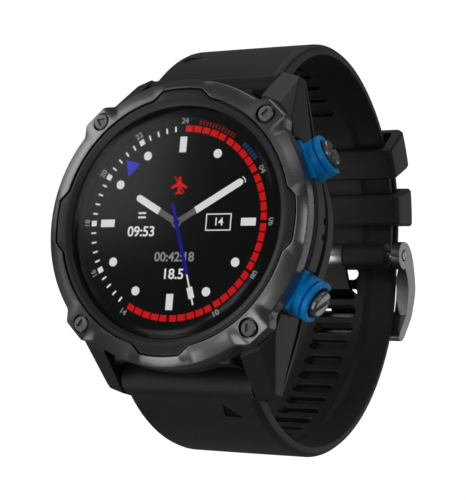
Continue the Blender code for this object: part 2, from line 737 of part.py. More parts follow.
def make_strap(name, path, outward, slots, mats, rolled, tip_length=0.0):
    start = along(path, EYE_JOIN)[0]
    band = strap_band([tuple(start)] + path[1:], outward, tip_length)
    strap = new_object(name, band, mats["silicone"])
    y, z = path[0]
    reach = STRAP_HALF_WIDTH + 0.08
    eye = helper(f"{name}_eye", pipe(STRAP_EYE, PIN_RADIUS + GAP, -reach, reach, 20),
                 mats["silicone"], Matrix.Translation((0, y, z)))
    boolean(strap, eye, "UNION")
    cuts = []
    if rolled:
        place = Matrix.Translation((0, *BUCKLE_PIN))
        roll = helper(f"{name}_roll", rod(ROLL_RADIUS, -12.3, 12.3, 20), mats["silicone"], place)
        boolean(strap, roll, "UNION")
        cuts.append(moved(rod(BUCKLE_PIN_RADIUS + GAP, -20, 20, 14), place))
    for distance, through in slots:
        top = 4.0 if through else -0.1
        cuts.append(moved(slot_cutter(-4.0, top), frame_at(path, distance, outward)))
    cuts.append(moved(box((-5.0, 3.1, -4.5), (5.0, 8.6, -0.7)), latch_place(path, outward)))
    boolean(strap, helper(f"{name}_cuts", joined(cuts), mats["steel"]), "DIFFERENCE")
    if rolled:
        notch = box((-3.2, 49.5, 0.5), (3.2, 60.0, 9.4))
        boolean(strap, helper(f"{name}_notch", notch, mats["steel"]), "DIFFERENCE")
    return strap


def make_latch(name, path, outward, mats):
    """The metal slide under the strap that frees it from its lug pin."""
    plate = new_object(name, box((-4.6, 3.5, -1.8), (4.6, 6.3, -1.05)), mats["steel"],
                       latch_place(path, outward))
    tab = helper(f"{name}_tab", box((-2.2, 4.5, -2.9), (2.2, 5.6, -1.5)), mats["steel"],
                 latch_place(path, outward))
    boolean(plate, tab, "UNION")


def upper_slots():
    return [(13.5 + 4.4 * k, False) for k in range(9)]


def lower_slots(path):
    """Every hole that the tongue could use goes right through; those by the case don't."""
    start = distance_to_z(path, TONGUE_SLOT_Z)
    found = []
    for k in range(-17, 7):
        distance = start + SLOT_PITCH * k
        if distance < path_length(path) - 5:
            found.append((distance, k >= -2))
    return found


def make_lug_pin(name, z, mats):
    new_object(name, rod(PIN_RADIUS, -15.8, 15.8, 12), mats["steel"], Matrix.Translation((0, LUG_PIN[0], z)))


# ---------------------------------------------------------------- buckle and keepers


def closing_in(bm):
    """Thickens a buckle arm inwards below its eye and bends its lower part towards the strap."""
    bmesh.ops.triangulate(bm, faces=bm.faces[:])
    step_top, step_height, step = ARM_STEP
    top, height, most = ARM_BEND
    for vert in bm.verts:
        inwards = most * max(0.0, (top - vert.co.z) / height) ** 1.3
        if abs(vert.co.x) < (ARM_INSIDE + ARM_OUTSIDE) / 2:
            inwards += step * min(1.0, max(0.0, (step_top - vert.co.z) / step_height))
        vert.co.x -= math.copysign(inwards, vert.co.x)
    return bm


def make_buckle_frame(mats):
    end = CROSSBAR_FROM
    path = bezier_path(BUCKLE_PIN, (57.6, 8.0), (60.4, 1.5), end, 8) + [CROSSBAR_TO]
    widths = [2.9, 2.8, 2.6, 2.4, 2.25, 2.1, 1.95, 1.75, 1.6, 1.6]
    outline = thick_line(path, widths)
    arms = [closing_in(prism(outline, x0, x1)) for x0, x1 in
            ((ARM_INSIDE, ARM_OUTSIDE), (-ARM_OUTSIDE, -ARM_INSIDE))]
    frame = new_object("buckle_frame", arms[0], mats["dark_steel"])
    far_arm = helper("buckle_far_arm", arms[1], mats["dark_steel"])
    bar = prism(thick_line([CROSSBAR_FROM, CROSSBAR_TO], [1.1, 1.1], 6), -CROSSBAR_END, CROSSBAR_END)
    crossbar = helper("buckle_crossbar", bar, mats["dark_steel"])
    boolean(frame, crossbar, "UNION")
    boolean(frame, far_arm, "UNION")
    bore = moved(rod(BUCKLE_PIN_RADIUS + GAP, -20, 20, 14), Matrix.Translation((0, *BUCKLE_PIN)))
    boolean(frame, helper("buckle_bore", bore, mats["steel"]), "DIFFERENCE")


def make_buckle_pin(mats):
    pin = new_object("buckle_pin", rod(BUCKLE_PIN_RADIUS, -PIN_END, PIN_END, 14), mats["steel"],
                     Matrix.Translation((0, *BUCKLE_PIN)))
    deep = PIN_END - 0.5
    slots = joined([box((deep, -0.25, -2), (17, 0.25, 2)), box((-17, -0.25, -2), (-deep, 0.25, 2))])
    cutter = helper("buckle_pin_slots", slots, mats["steel"], Matrix.Translation((0, *BUCKLE_PIN)))
    boolean(pin, cutter, "DIFFERENCE")


def make_tongue(mats):
    """Leaves the pin inside the long strap, goes out through a slot and rests on the crossbar."""
    path = [(54.9, 4.6), (55.6, 2.0), (56.2, 0.1), (57.5, -0.7), (60.4, -1.3), (62.5, -1.9),
            (63.6, -3.6), (64.1, -6.0), (63.4, -9.0)]
    outline = thick_line(path, [0.6] * len(path), 4)
    blade = prism(outline, -TONGUE_HALF_WIDTH, TONGUE_HALF_WIDTH)
    for vert in blade.verts:
        share = min(1.0, max(0.0, (4.4 - vert.co.z) / 5.0))
        vert.co.x += math.copysign(TONGUE_FLARE * share, vert.co.x)
    tongue = new_object("buckle_tongue", blade, mats["dark_steel"])
    place = Matrix.Translation((0, *BUCKLE_PIN))
    barrel = helper("tongue_barrel", rod(2.3, -2.7, 2.7, 18), mats["dark_steel"], place)
    bore = helper("tongue_bore", rod(BUCKLE_PIN_RADIUS + GAP, -4, 4, 14), mats["steel"], place)
    boolean(tongue, barrel, "UNION")
    boolean(tongue, bore, "DIFFERENCE")


def make_keeper(name, from_deg, to_deg, mats):
    """A loop round both straps, bent to their curve."""
    inner_low = UPPER_ARC_RADIUS - STRAP_IN - GAP
    outer_low = inner_low - 1.3
    side = KEEPER_HALF_WIDTH
    inside = STRAP_END_HALF_WIDTH + GAP + 0.1
    steps = 4
    bm = bmesh.new()
    rings = []
    for k in range(steps + 1):
        a = from_deg + (to_deg - from_deg) * k / steps
        outer_loop = [
            (-side + 1.2, outer_low), (side - 1.2, outer_low),
            (side, outer_low + 1.2), (side, KEEPER_OUTER_RADIUS - 1.2),
            (side - 1.2, KEEPER_OUTER_RADIUS), (-side + 1.2, KEEPER_OUTER_RADIUS),
            (-side, KEEPER_OUTER_RADIUS - 1.2), (-side, outer_low + 1.2),
        ]
        inner_loop = [
            (-inside + 0.6, inner_low), (inside - 0.6, inner_low),
            (inside, inner_low + 0.6), (inside, KEEPER_INNER_RADIUS - 0.6),
            (inside - 0.6, KEEPER_INNER_RADIUS), (-inside + 0.6, KEEPER_INNER_RADIUS),
            (-inside, KEEPER_INNER_RADIUS - 0.6), (-inside, inner_low + 0.6),
        ]
        ring = []
        for loop in (outer_loop, inner_loop):
            points = [(x, *handle(LOOP_CENTRE, a, r)) for x, r in loop]
            ring.append([bm.verts.new(point) for point in points])
        rings.append(ring)
    count = len(rings[0][0])
    for (outer_a, inner_a), (outer_b, inner_b) in zip(rings, rings[1:]):
        for i in range(count):
            j = (i + 1) % count
            bm.faces.new((outer_a[i], outer_a[j], outer_b[j], outer_b[i]))
            bm.faces.new((inner_a[i], inner_b[i], inner_b[j], inner_a[j]))
    for outer_row, inner_row in (rings[0], rings[-1]):
        for i in range(count):
            j = (i + 1) % count
            bm.faces.new((outer_row[i], inner_row[i], inner_row[j], outer_row[j]))
    new_object(name, bm, mats["silicone"])


def main():
    for obj in list(bpy.data.objects):
        bpy.data.objects.remove(obj, do_unlink=True)
    mats = make_materials()
    make_mid_case(mats)
    make_bezel(mats)
    make_bezel_insert(mats)
    make_lens(mats)
    make_flat_rings(mats)
    make_inside(mats)
    make_rear_cover(mats)
    make_charge_port(mats)
    make_screws(mats)
    for name, degrees in BUTTON_DEG.items():
        make_button(name, degrees, mats)
        if name in GUARDED:
            make_guard(name, degrees, mats)
    upper, lower = upper_path(), lower_path()
    make_lug_pin("lug_pin_upper", LUG_PIN[1], mats)
    make_lug_pin("lug_pin_lower", -LUG_PIN[1], mats)
    make_strap("strap_upper", upper, 1, upper_slots(), mats, rolled=True)
    make_strap("strap_lower", lower, -1, lower_slots(lower), mats, rolled=False, tip_length=5.0)
    make_latch("latch_upper", upper, 1, mats)
    make_latch("latch_lower", lower, -1, mats)
    make_buckle_frame(mats)
    make_buckle_pin(mats)
    make_tongue(mats)
    for name, (from_deg, to_deg) in KEEPER_SPANS_DEG.items():
        make_keeper(name, from_deg, to_deg, mats)


main()
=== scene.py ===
"""The looks of a wrist dive computer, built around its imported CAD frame.

Axes: +X to 3 o'clock, +Z to 12 o'clock, +Y towards the wrist, so the dial faces -Y.
Shapes are drawn in millimetres about the CAD's origin and turned into metres at the end.
"""

import math

import bmesh
import bpy
from mathutils import Matrix, Vector
from mathutils.geometry import interpolate_bezier


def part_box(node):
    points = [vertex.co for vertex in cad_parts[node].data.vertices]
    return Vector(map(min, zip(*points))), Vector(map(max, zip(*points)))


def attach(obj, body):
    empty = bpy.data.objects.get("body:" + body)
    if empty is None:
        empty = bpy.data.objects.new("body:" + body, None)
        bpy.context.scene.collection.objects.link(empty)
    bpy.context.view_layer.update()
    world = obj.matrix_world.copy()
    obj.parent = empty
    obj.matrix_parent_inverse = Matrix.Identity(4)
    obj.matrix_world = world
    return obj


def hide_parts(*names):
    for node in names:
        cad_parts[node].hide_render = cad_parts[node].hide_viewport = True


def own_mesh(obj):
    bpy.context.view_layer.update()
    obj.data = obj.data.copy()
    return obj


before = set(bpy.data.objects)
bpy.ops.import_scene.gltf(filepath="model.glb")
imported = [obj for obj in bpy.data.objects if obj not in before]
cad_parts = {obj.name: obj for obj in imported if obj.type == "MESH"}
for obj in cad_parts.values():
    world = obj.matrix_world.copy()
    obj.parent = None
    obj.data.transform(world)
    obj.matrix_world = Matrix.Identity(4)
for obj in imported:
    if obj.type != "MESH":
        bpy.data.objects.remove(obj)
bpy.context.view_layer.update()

MM = 0.001


def low_mm(node):
    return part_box(node)[0] / MM


def high_mm(node):
    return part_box(node)[1] / MM


# Sizes read from the frame, in millimetres
BEZEL_TOP = low_mm("bezel").y
BEZEL_BOTTOM = high_mm("bezel").y
BEZEL_FLOOR = high_mm("bezel_insert").y + 0.3
INSERT_TOP = low_mm("bezel_insert").y
LENS_RADIUS = high_mm("lens").x
LENS_TOP = low_mm("lens").y
LENS_BOTTOM = high_mm("lens").y
DIAL_RADIUS = high_mm("display_panel").x
DIAL_FACE = low_mm("display_panel").y
DIAL_BACK = high_mm("display_panel").y
TAB_RADIUS = high_mm("bezel_insert").x
COVER_RADIUS = high_mm("rear_cover").x
WINDOW_RADIUS = high_mm("sensor_window").x

# Sizes of the case that the boxes don't give
GAP = 0.3
BEZEL_RADIUS = 25.3
INSERT_RADIUS = 22.1
CASE_TOP = BEZEL_BOTTOM + GAP
CASE_BOTTOM = -0.6
COVER_SHELF = -2.6
GROOVE_RADIUS = 23.2
LOBE_HALF_X = 19.9
LOBE_HALF_Z = 21.1
LOBE_CLIP = 26.66
LOBE_CLIP_DEG = 43.05
TAB_CORNERS_DEG = (9.5, 14.5)
BEZEL_SCREW_XZ = (16.35, 18.25)
REAR_SCREW_XZ = (14.35, 14.35)
LUG_INSIDE = 13.3
CLEAR_OF_CASE = 34.0
SENSOR_PORT_Z = (1.0, -1.7)
BEZEL_SCREW_HOLE = 1.05
REAR_SCREW_HOLE = 0.95
SILL_HALF_X = 11.4
SILL_FRONT = -12.6
SILL_BACK = -4.6
SILL_IN = 19.8
SILL_OUT = 24.0

# Buttons
BUTTON_PLANE_Y = -9.0
BUTTON_DEG = {"start": 27.0, "back": -27.0, "light": 150.0, "up": 180.0, "down": 210.0}
GUARDED = ("start", "back")
BUTTON_FLOOR = 24.2
SPRING_FLOOR = 22.3
CAP_INNER = 25.4
CAP_OUTER = 27.0
GUARDED_CAP_OUTER = 29.2
GUARD_OUTER = 28.3
CAP_RADIUS = 2.35
GUARD_RADIUS = 3.7

# Straps, buckle and keepers, as (y, z) in the plane of the strap's loop
LUG_PIN = (-4.2, 26.3)
PIN_BORE = 1.05
STRAP_HALF_WIDTH = 12.9
STRAP_END_HALF_WIDTH = 12.4
STRAP_OUT = 1.5
STRAP_IN = 1.5
STRAP_EYE = 2.8
UPPER_MARK = ((-10.4, 8.0), (-11.0, 11.2), (-7.0, 11.0))
LOWER_MARK = ((6.0, 2.9), (5.3, 6.0), (8.9, 6.3))
ROOT_OUT = 2.5
ROOT_TAPER = 20.0
EYE_JOIN = 1.3
UPPER_HEADING_DEG = 53.0
LOWER_HEADING_DEG = 46.0
LOOP_CENTRE = (26.0, 8.7)
UPPER_ARC_RADIUS = 29.55
TAIL_ARC_RADIUS = 32.85
TAIL_END_DEG = 41.0
TONGUE_SLOT_Z = -0.8
SLOT_HALF_LENGTH = 4.4
SLOT_HALF_HEIGHT = 1.2
SLOT_PITCH = 4.2
SLOTS_BEFORE_TONGUE = 17
SLOTS_AFTER_TONGUE = 6
THROUGH_FROM = -2
TAIL_WITHOUT_SLOTS = 5.0
UPPER_SLOTS_FROM = 13.5
UPPER_SLOT_PITCH = 4.4
UPPER_SLOT_COUNT = 9
LATCH_ALONG = 0.5
BUCKLE_PIN = (54.0, 6.7)
BUCKLE_PIN_BORE = 1.25
ROLL_RADIUS = 2.7
ARM_INSIDE = 14.25
ARM_OUTSIDE = 16.0
CROSSBAR_FROM = (62.0, -5.2)
CROSSBAR_TO = (61.3, -8.9)
CROSSBAR_END = 13.65
ARM_STEP = (4.0, 2.0, 1.0)
ARM_BEND = (1.0, 11.0, 2.2)
TONGUE_HALF_WIDTH = 2.7
TONGUE_FLARE = 0.9
KEEPER_INNER_RADIUS = 34.65
KEEPER_OUTER_RADIUS = 36.2
KEEPER_HALF_WIDTH = 14.9
KEEPER_SPANS_DEG = {"keeper_1": (30.0, 43.8), "keeper_2": (9.3, 22.4)}

# The camera, in metres
CAMERA_PLACE = (0.12405, -0.2316, -0.04522)
CAMERA_FORWARD = (-0.455, 0.8754, 0.1631)
CAMERA_UP = (0.0018, -0.1823, 0.9832)
CAMERA_LENS = 105.55

# The set, in metres
FLOOR_Z = -0.13
FLOOR_HALF_SIDE = 1.2
BACKDROP_RADIUS = 4.0
LIGHTS_AIM = (0.0, 0.015, 0.0)
LIGHTS_AWAY = 0.8
WORLD_GLOW = 0.1


# --- materials


MIRROR_AT_EDGE = 0.5
MIRROR_HEAD_ON = 0.0125


class Paint:
    """A Principled material and the few nodes that give its surface some life."""

    def __init__(self, name, colour, roughness, metallic=0.0, **constants):
        self.material = bpy.data.materials.new(name)
        self.material.use_nodes = True
        self.tree = self.material.node_tree
        self.shader = self.tree.nodes["Principled BSDF"]
        self.colour = colour
        self.set("Base Color", (*colour, 1.0))
        self.set("Roughness", roughness)
        self.set("Metallic", metallic)
        for socket, value in constants.items():
            self.set(socket.replace("_", " "), value)

    def set(self, socket, value):
        self.shader.inputs[socket].default_value = value

    def node(self, kind, **inputs):
        made = self.tree.nodes.new(kind)
        for socket, value in inputs.items():
            target = made.inputs[int(socket[1:])] if socket[1:].isdigit() else made.inputs[socket]
            if isinstance(value, bpy.types.NodeSocket):
                self.tree.links.new(value, target)
            else:
                target.default_value = value
        return made

    def place(self, stretch=(1.0, 1.0, 1.0)):
        """Object coordinates in millimetres, stretched along each axis."""
        where = self.node("ShaderNodeTexCoord").outputs["Object"]
        scaled = self.node("ShaderNodeMapping", Vector=where)
        scaled.inputs["Scale"].default_value = [s / MM for s in stretch]
        return scaled.outputs["Vector"]

    def work_out(self, operation, *values):
        made = self.node("ShaderNodeMath", **{f"i{k}": value for k, value in enumerate(values)})
        made.operation = operation
        return made.outputs[0]

    def turned_place(self, radial, round_, deep):
        """Coordinates (radius, angle, depth) about Y, each with its own scale."""
        parts = self.node("ShaderNodeSeparateXYZ", Vector=self.place()).outputs
        squares = [self.work_out("POWER", parts[axis], 2.0) for axis in "XZ"]
        radius = self.work_out("POWER", self.work_out("ADD", *squares), 0.5)
        angle = self.work_out("ARCTAN2", parts["X"], parts["Z"])
        x, y, z = (self.work_out("MULTIPLY", *pair)
                   for pair in ((radius, radial), (angle, round_), (parts["Y"], deep)))
        return self.node("ShaderNodeCombineXYZ", X=x, Y=y, Z=z).outputs[0]

    def noise(self, where, scale, detail=3.0, roughness=0.5):
        return self.node("ShaderNodeTexNoise", Vector=where, Scale=scale, Detail=detail,
                         Roughness=roughness).outputs["Fac"]

    def vary_colour(self, fac, dark, light, low=0.3, high=0.7):
        ramp = self.node("ShaderNodeValToRGB", Fac=fac)
        ends = ramp.color_ramp.elements
        for end, share, position in zip(ends, (dark, light), (low, high)):
            end.color = (*[min(c * share, 1.0) for c in self.colour], 1.0)
            end.position = position
        self.tree.links.new(ramp.outputs["Color"], self.shader.inputs["Base Color"])
        return self

    def vary_roughness(self, fac, low, high):
        spread = self.node("ShaderNodeMapRange", Value=fac)
        spread.inputs["To Min"].default_value = low
        spread.inputs["To Max"].default_value = high
        self.tree.links.new(spread.outputs["Result"], self.shader.inputs["Roughness"])
        return self

    def bump(self, height, strength, depth_mm=0.05):
        made = self.node("ShaderNodeBump", Height=height, Strength=strength, Distance=depth_mm * MM)
        self.tree.links.new(made.outputs["Normal"], self.shader.inputs["Normal"])
        return self

    def add(self, first, second, share):
        """first + share * second, for mixing two heights."""
        return self.work_out("ADD", first, self.work_out("MULTIPLY", second, share))


def silicone():
    paint = Paint("silicone", (0.018, 0.0182, 0.019), 0.5, Specular_IOR_Level=0.36, Sheen_Weight=0.04)
    where = paint.place()
    clouds = paint.noise(where, 0.22, 4.0)
    grain = paint.noise(where, 7.0, 2.0)
    paint.vary_colour(clouds, 0.85, 1.2)
    paint.vary_roughness(paint.noise(where, 1.1, 4.0), 0.42, 0.6)
    return paint.bump(grain, 0.25, 0.03).material


def case_polymer():
    """Matte moulded polymer with a fine fibre grain."""
    paint = Paint("case_polymer", (0.022, 0.0223, 0.0235), 0.48, Specular_IOR_Level=0.45)
    fibres = paint.noise(paint.place((1.0, 1.0, 0.35)), 9.0, 3.0, 0.7)
    paint.vary_colour(fibres, 0.75, 1.3)
    paint.vary_roughness(paint.noise(paint.place(), 2.0, 3.0), 0.4, 0.56)
    return paint.bump(fibres, 0.3, 0.03).material


def brushed_round(name, colour, low, high, anisotropy=0.6):
    """Metal with a hard dark coating, brushed in rings about the dial's axis."""
    paint = Paint(name, colour, low, 1.0, Anisotropic=anisotropy, Anisotropic_Rotation=0.25)
    lines = paint.noise(paint.turned_place(14.0, 1.6, 14.0), 1.0, 4.0, 0.7)
    patches = paint.noise(paint.place(), 0.16, 3.0)
    paint.vary_colour(paint.add(lines, patches, 0.6), 0.82, 1.16, 0.5, 1.1)
    paint.vary_roughness(patches, low, high)
    tangent = paint.node("ShaderNodeTangent")
    tangent.direction_type = "RADIAL"
    tangent.axis = "Y"
    paint.tree.links.new(tangent.outputs["Tangent"], paint.shader.inputs["Tangent"])
    return paint.bump(lines, 0.12, 0.012).material


def satin_metal(name, colour, low, high, brushed=(1.0, 1.0, 1.0)):
    paint = Paint(name, colour, low, 1.0)
    lines = paint.noise(paint.place(brushed), 7.0, 3.0, 0.65)
    paint.vary_colour(lines, 0.82, 1.15)
    paint.vary_roughness(paint.noise(paint.place(), 0.8, 4.0), low, high)
    return paint.bump(lines, 0.12, 0.012).material


def insert_black():
    paint = Paint("insert_black", (0.024, 0.024, 0.025), 0.36, 0.2, Specular_IOR_Level=0.42)
    lines = paint.noise(paint.turned_place(11.0, 1.2, 11.0), 1.0, 3.0, 0.6)
    paint.vary_colour(lines, 0.8, 1.22, 0.35, 0.65)
    paint.vary_roughness(paint.noise(paint.place(), 0.5, 3.0), 0.32, 0.44)
    return paint.bump(lines, 0.15, 0.012).material


def blue_anodised():
    paint = Paint("blue_anodised", (0.0, 0.36, 1.0), 0.42, 0.0, Specular_IOR_Level=0.25)
    grain = paint.noise(paint.place(), 8.0, 3.0, 0.6)
    paint.vary_colour(paint.noise(paint.place(), 0.9, 3.0), 0.82, 1.15)
    paint.vary_roughness(grain, 0.34, 0.46)
    return paint.bump(grain, 0.12, 0.012).material


def grained(name, colour, roughness, grain, tint, relief, **constants):
    """One even grain that sets the colour's range and the relief."""
    paint = Paint(name, colour, roughness, **constants)
    pattern = paint.noise(paint.place(), *grain)
    paint.vary_colour(pattern, *tint)
    return paint.bump(pattern, *relief).material


def mark_black():
    """The black filling of a sunk mark."""
    return grained("mark_black", (0.003, 0.003, 0.0032), 0.6, (4.0, 3.0), (0.8, 1.3), (0.1, 0.02),
                   Specular_IOR_Level=0.2)


def plain_rubber():
    return grained("rubber", (0.016, 0.016, 0.017), 0.75, (4.0, 3.0), (0.8, 1.3), (0.2, 0.03))


def dial_black():
    """The dark face of the display, almost without shine."""
    paint = Paint("dial_black", (0.0012, 0.0012, 0.0014), 0.5, Specular_IOR_Level=0.03)
    paint.vary_colour(paint.noise(paint.place(), 1.5, 2.0), 0.8, 1.2)
    return paint.material


def dial_print(name, colour, glow):
    """Lit pixels or ink on the display, with the fine unevenness of a dot grid."""
    paint = Paint(name, colour, 0.5, Specular_IOR_Level=0.04)
    dots = paint.noise(paint.place(), 6.0, 2.0)
    paint.vary_colour(dots, 0.92, 1.05)
    paint.set("Emission Color", (*colour, 1.0))
    paint.set("Emission Strength", glow)
    return paint.material


def clear_glass(name, tint, polish):
    """A clear window that mirrors a little, and more at a slant, the same from both of its faces."""
    paint = Paint(name, tint, polish)
    clear = paint.node("ShaderNodeBsdfTransparent", Color=(*tint, 1.0))
    mirror = paint.node("ShaderNodeBsdfGlossy", Roughness=polish, Color=(0.97, 0.97, 0.97, 1.0))
    facing = paint.node("ShaderNodeLayerWeight", Blend=0.5).outputs["Facing"]
    slant = paint.work_out("POWER", facing, 5.0)
    share = paint.work_out("MULTIPLY_ADD", slant, MIRROR_AT_EDGE, MIRROR_HEAD_ON)
    mix = paint.node("ShaderNodeMixShader", i0=share, i1=clear.outputs[0], i2=mirror.outputs[0])
    surface = paint.tree.nodes["Material Output"].inputs["Surface"]
    paint.tree.links.new(mix.outputs[0], surface)
    paint.tree.nodes.remove(paint.shader)
    return paint.material


def circuit_board():
    paint = Paint("board", (0.012, 0.09, 0.04), 0.4)
    tracks = paint.node("ShaderNodeTexBrick", Vector=paint.place(), Scale=0.35).outputs["Fac"]
    paint.vary_colour(tracks, 0.7, 1.6)
    return paint.bump(tracks, 0.3, 0.05).material


def foil():
    """Creased metal foil."""
    return grained("battery_foil", (0.55, 0.55, 0.57), 0.35, (0.5, 5.0), (0.85, 1.1), (0.3, 0.1),
                   metallic=0.8)


def pale_floor():
    paint = Paint("floor", (0.8, 0.8, 0.8), 0.9, Specular_IOR_Level=0.1)
    paint.vary_colour(paint.noise(paint.place(), 0.002, 2.0), 0.985, 1.015)
    paint.set("Emission Color", (0.8, 0.8, 0.8, 1.0))
    paint.set("Emission Strength", 0.6)
    return paint.material


def glowing_backdrop():
    paint = Paint("backdrop", (0.98, 0.98, 0.98), 1.0, Specular_IOR_Level=0.0)
    cloud = paint.noise(paint.place(), 0.0003, 2.0)
    paint.vary_colour(cloud, 0.99, 1.01)
    colour = paint.shader.inputs["Base Color"].links[0].from_socket
    paint.tree.links.new(colour, paint.shader.inputs["Emission Color"])
    paint.set("Emission Strength", 1.0)
    return paint.material


ALONG_X = (0.3, 1.0, 1.0)  # stretches a metal's grain into lines along X

MATERIALS = {
    "silicone": silicone(),
    "case_polymer": case_polymer(),
    "bezel_metal": brushed_round("bezel_metal", (0.2, 0.198, 0.198), 0.25, 0.31, 0.85),
    "cover_metal": brushed_round("cover_metal", (0.2, 0.2, 0.205), 0.3, 0.42),
    "insert_black": insert_black(),
    "blue": blue_anodised(),
    "mark_black": mark_black(),
    "rubber": plain_rubber(),
    "lens_glass": clear_glass("lens_glass", (0.97, 0.98, 0.98), 0.17),
    "sensor_glass": clear_glass("sensor_glass", (0.25, 0.25, 0.27), 0.04),
    "dial_black": dial_black(),
    "board": circuit_board(),
    "foil": foil(),
}
for metal, *settings in (
    ("dark_steel", (0.3, 0.3, 0.31), 0.26, 0.4, ALONG_X),
    ("screw_steel", (0.2, 0.2, 0.205), 0.34, 0.46),
    ("black_steel", (0.035, 0.035, 0.036), 0.4, 0.5, ALONG_X),
    ("steel", (0.5, 0.5, 0.52), 0.24, 0.36),
    ("bright_steel", (0.8, 0.8, 0.82), 0.3, 0.42, (0.2, 1.0, 1.0)),
    ("gold", (0.72, 0.5, 0.2), 0.22, 0.32),
):
    MATERIALS[metal] = satin_metal(metal, *settings)
for ink, colour, glow in (
    ("print_white", (0.74, 0.74, 0.74), 0.5),
    ("print_grey", (0.14, 0.14, 0.14), 0.35),
    ("print_dim", (0.3, 0.3, 0.3), 0.35),
    ("print_dim_red", (0.22, 0.008, 0.01), 0.35),
    ("print_red", (0.6, 0.004, 0.007), 0.5),
    ("print_blue", (0.03, 0.028, 0.5), 0.4),
    ("print_navy", (0.008, 0.005, 0.24), 0.4),
    ("print_sky", (0.01, 0.06, 0.18), 0.3),
    ("led_green", (0.02, 0.2, 0.05), 0.3),
):
    MATERIALS[ink] = dial_print(ink, colour, glow)


# --- mesh tools


def mesh_object(name, bm):
    bmesh.ops.recalc_face_normals(bm, faces=bm.faces)
    mesh = bpy.data.meshes.new(name)
    bm.to_mesh(mesh)
    bm.free()
    obj = bpy.data.objects.new(name, mesh)
    bpy.context.scene.collection.objects.link(obj)
    return obj


def piece(name, bm, material, body, stands_for=(), joins=(), cuts=(), place=None, sharp=30.0):
    """A finished piece that rides on a CAD body: joined, cut, put in place and turned into metres."""
    obj = mesh_object(name, bm)
    tools = []
    for operation, meshes in (("UNION", joins), ("DIFFERENCE", cuts)):
        for other in meshes:
            tools.append(mesh_object("tool", other))
            step = obj.modifiers.new(operation.lower(), "BOOLEAN")
            step.operation = operation
            step.object = tools[-1]
            step.solver = "EXACT"
    bpy.context.view_layer.update()
    graph = bpy.context.evaluated_depsgraph_get()
    mesh = bpy.data.meshes.new_from_object(obj.evaluated_get(graph))
    obj.modifiers.clear()
    for tool in tools:
        bpy.data.objects.remove(tool)
    obj.data = mesh
    mesh.name = name
    mesh.transform(Matrix.Scale(MM, 4) @ (place or Matrix.Identity(4)))
    mesh.shade_smooth()
    mesh.set_sharp_from_angle(angle=math.radians(sharp))
    mesh.materials.clear()
    mesh.materials.append(MATERIALS[material])
    mesh.polygons.foreach_set("material_index", [0] * len(mesh.polygons))
    if joins or cuts:
        obj.modifiers.new("even shading", "WEIGHTED_NORMAL").keep_sharp = True
    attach(obj, body)
    if stands_for:
        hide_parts(*stands_for)
    return obj


def eased(points, radius, steps=3):
    """The closed outline with each corner rounded off by about this radius."""
    out = []
    count = len(points)
    for i, point in enumerate(points):
        corner = Vector(point)
        before = Vector(points[i - 1]) - corner
        after = Vector(points[(i + 1) % count]) - corner
        reach = min(radius, 0.45 * before.length, 0.45 * after.length)
        if abs(point[0]) < 1e-6 or reach < 1e-4:
            out.append(tuple(corner))
            continue
        start = corner + before.normalized() * reach
        end = corner + after.normalized() * reach
        for k in range(steps + 1):
            t = k / steps
            out.append(tuple(start * (1 - t) ** 2 + corner * 2 * t * (1 - t) + end * t * t))
    return out


def turned(profile, steps=128, axis="Y"):
    """A closed (radius, height) outline turned through a full circle."""
    bm = bmesh.new()
    verts = [bm.verts.new((radius, height, 0.0)) for radius, height in profile]
    edges = [bm.edges.new((a, b)) for a, b in zip(verts, verts[1:] + verts[:1])]
    edges = [e for e in edges if max(v.co.x for v in e.verts) > 1e-6]
    bmesh.ops.spin(
        bm, geom=verts + edges, cent=(0, 0, 0), axis=(0, 1, 0),
        angle=math.tau, steps=steps, use_merge=True,
    )
    bmesh.ops.remove_doubles(bm, verts=bm.verts, dist=1e-4)
    loose = [e for e in bm.edges if not e.link_faces]
    bmesh.ops.delete(bm, geom=loose, context="EDGES")
    if axis == "X":
        bm.transform(Matrix.Rotation(-math.pi / 2, 4, "Z"))
    return bm


def rod(radius, low, high, steps=40, soft=0.0, axis="X"):
    outline = [(0, low), (radius, low), (radius, high), (0, high)]
    return turned(eased(outline, soft) if soft else outline, steps, axis)


def pipe(outer, inner, x0, x1, steps=48):
    return turned([(inner, x0), (outer, x0), (outer, x1), (inner, x1)], steps, axis="X")


def box(low, high, soft=0.0, segments=3):
    bm = bmesh.new()
    bmesh.ops.create_cube(bm, size=1.0)
    size = Vector(high) - Vector(low)
    bm.transform(Matrix.Translation((Vector(low) + Vector(high)) / 2) @ Matrix.Diagonal((*size, 1)))
    return soften(bm, soft, segments) if soft else bm


def soften(bm, width, segments=3, least_deg=20.0):
    """Rounds every edge that is sharper than an angle."""
    bmesh.ops.recalc_face_normals(bm, faces=bm.faces)
    edges = [e for e in bm.edges if e.calc_face_angle(0.0) > math.radians(least_deg)]
    bmesh.ops.bevel(bm, geom=edges, offset=width, segments=segments, profile=0.5,
                    affect="EDGES", clamp_overlap=True)
    return bm


def hull(points, soft=0.0):
    bm = bmesh.new()
    for point in points:
        bm.verts.new(point)
    found = bmesh.ops.convex_hull(bm, input=bm.verts)
    unused = found["geom_interior"] + found["geom_unused"]
    inside = {v for v in unused if isinstance(v, bmesh.types.BMVert)}
    bmesh.ops.delete(bm, geom=list(inside), context="VERTS")
    bmesh.ops.dissolve_limit(bm, angle_limit=math.radians(2), verts=bm.verts, edges=bm.edges)
    return soften(bm, soft) if soft else bm


def bridge(bm, row, following):
    """A belt of faces from one closed loop of verts to the next."""
    for i in range(len(row)):
        j = (i + 1) % len(row)
        bm.faces.new((row[i], row[j], following[j], following[i]))


def slab(first, last):
    """Two equal outlines, closed and joined by straight sides."""
    bm = bmesh.new()
    ends = [[bm.verts.new(point) for point in outline] for outline in (first, last)]
    for end in ends:
        bm.faces.new(end)
    bridge(bm, *ends)
    return bm


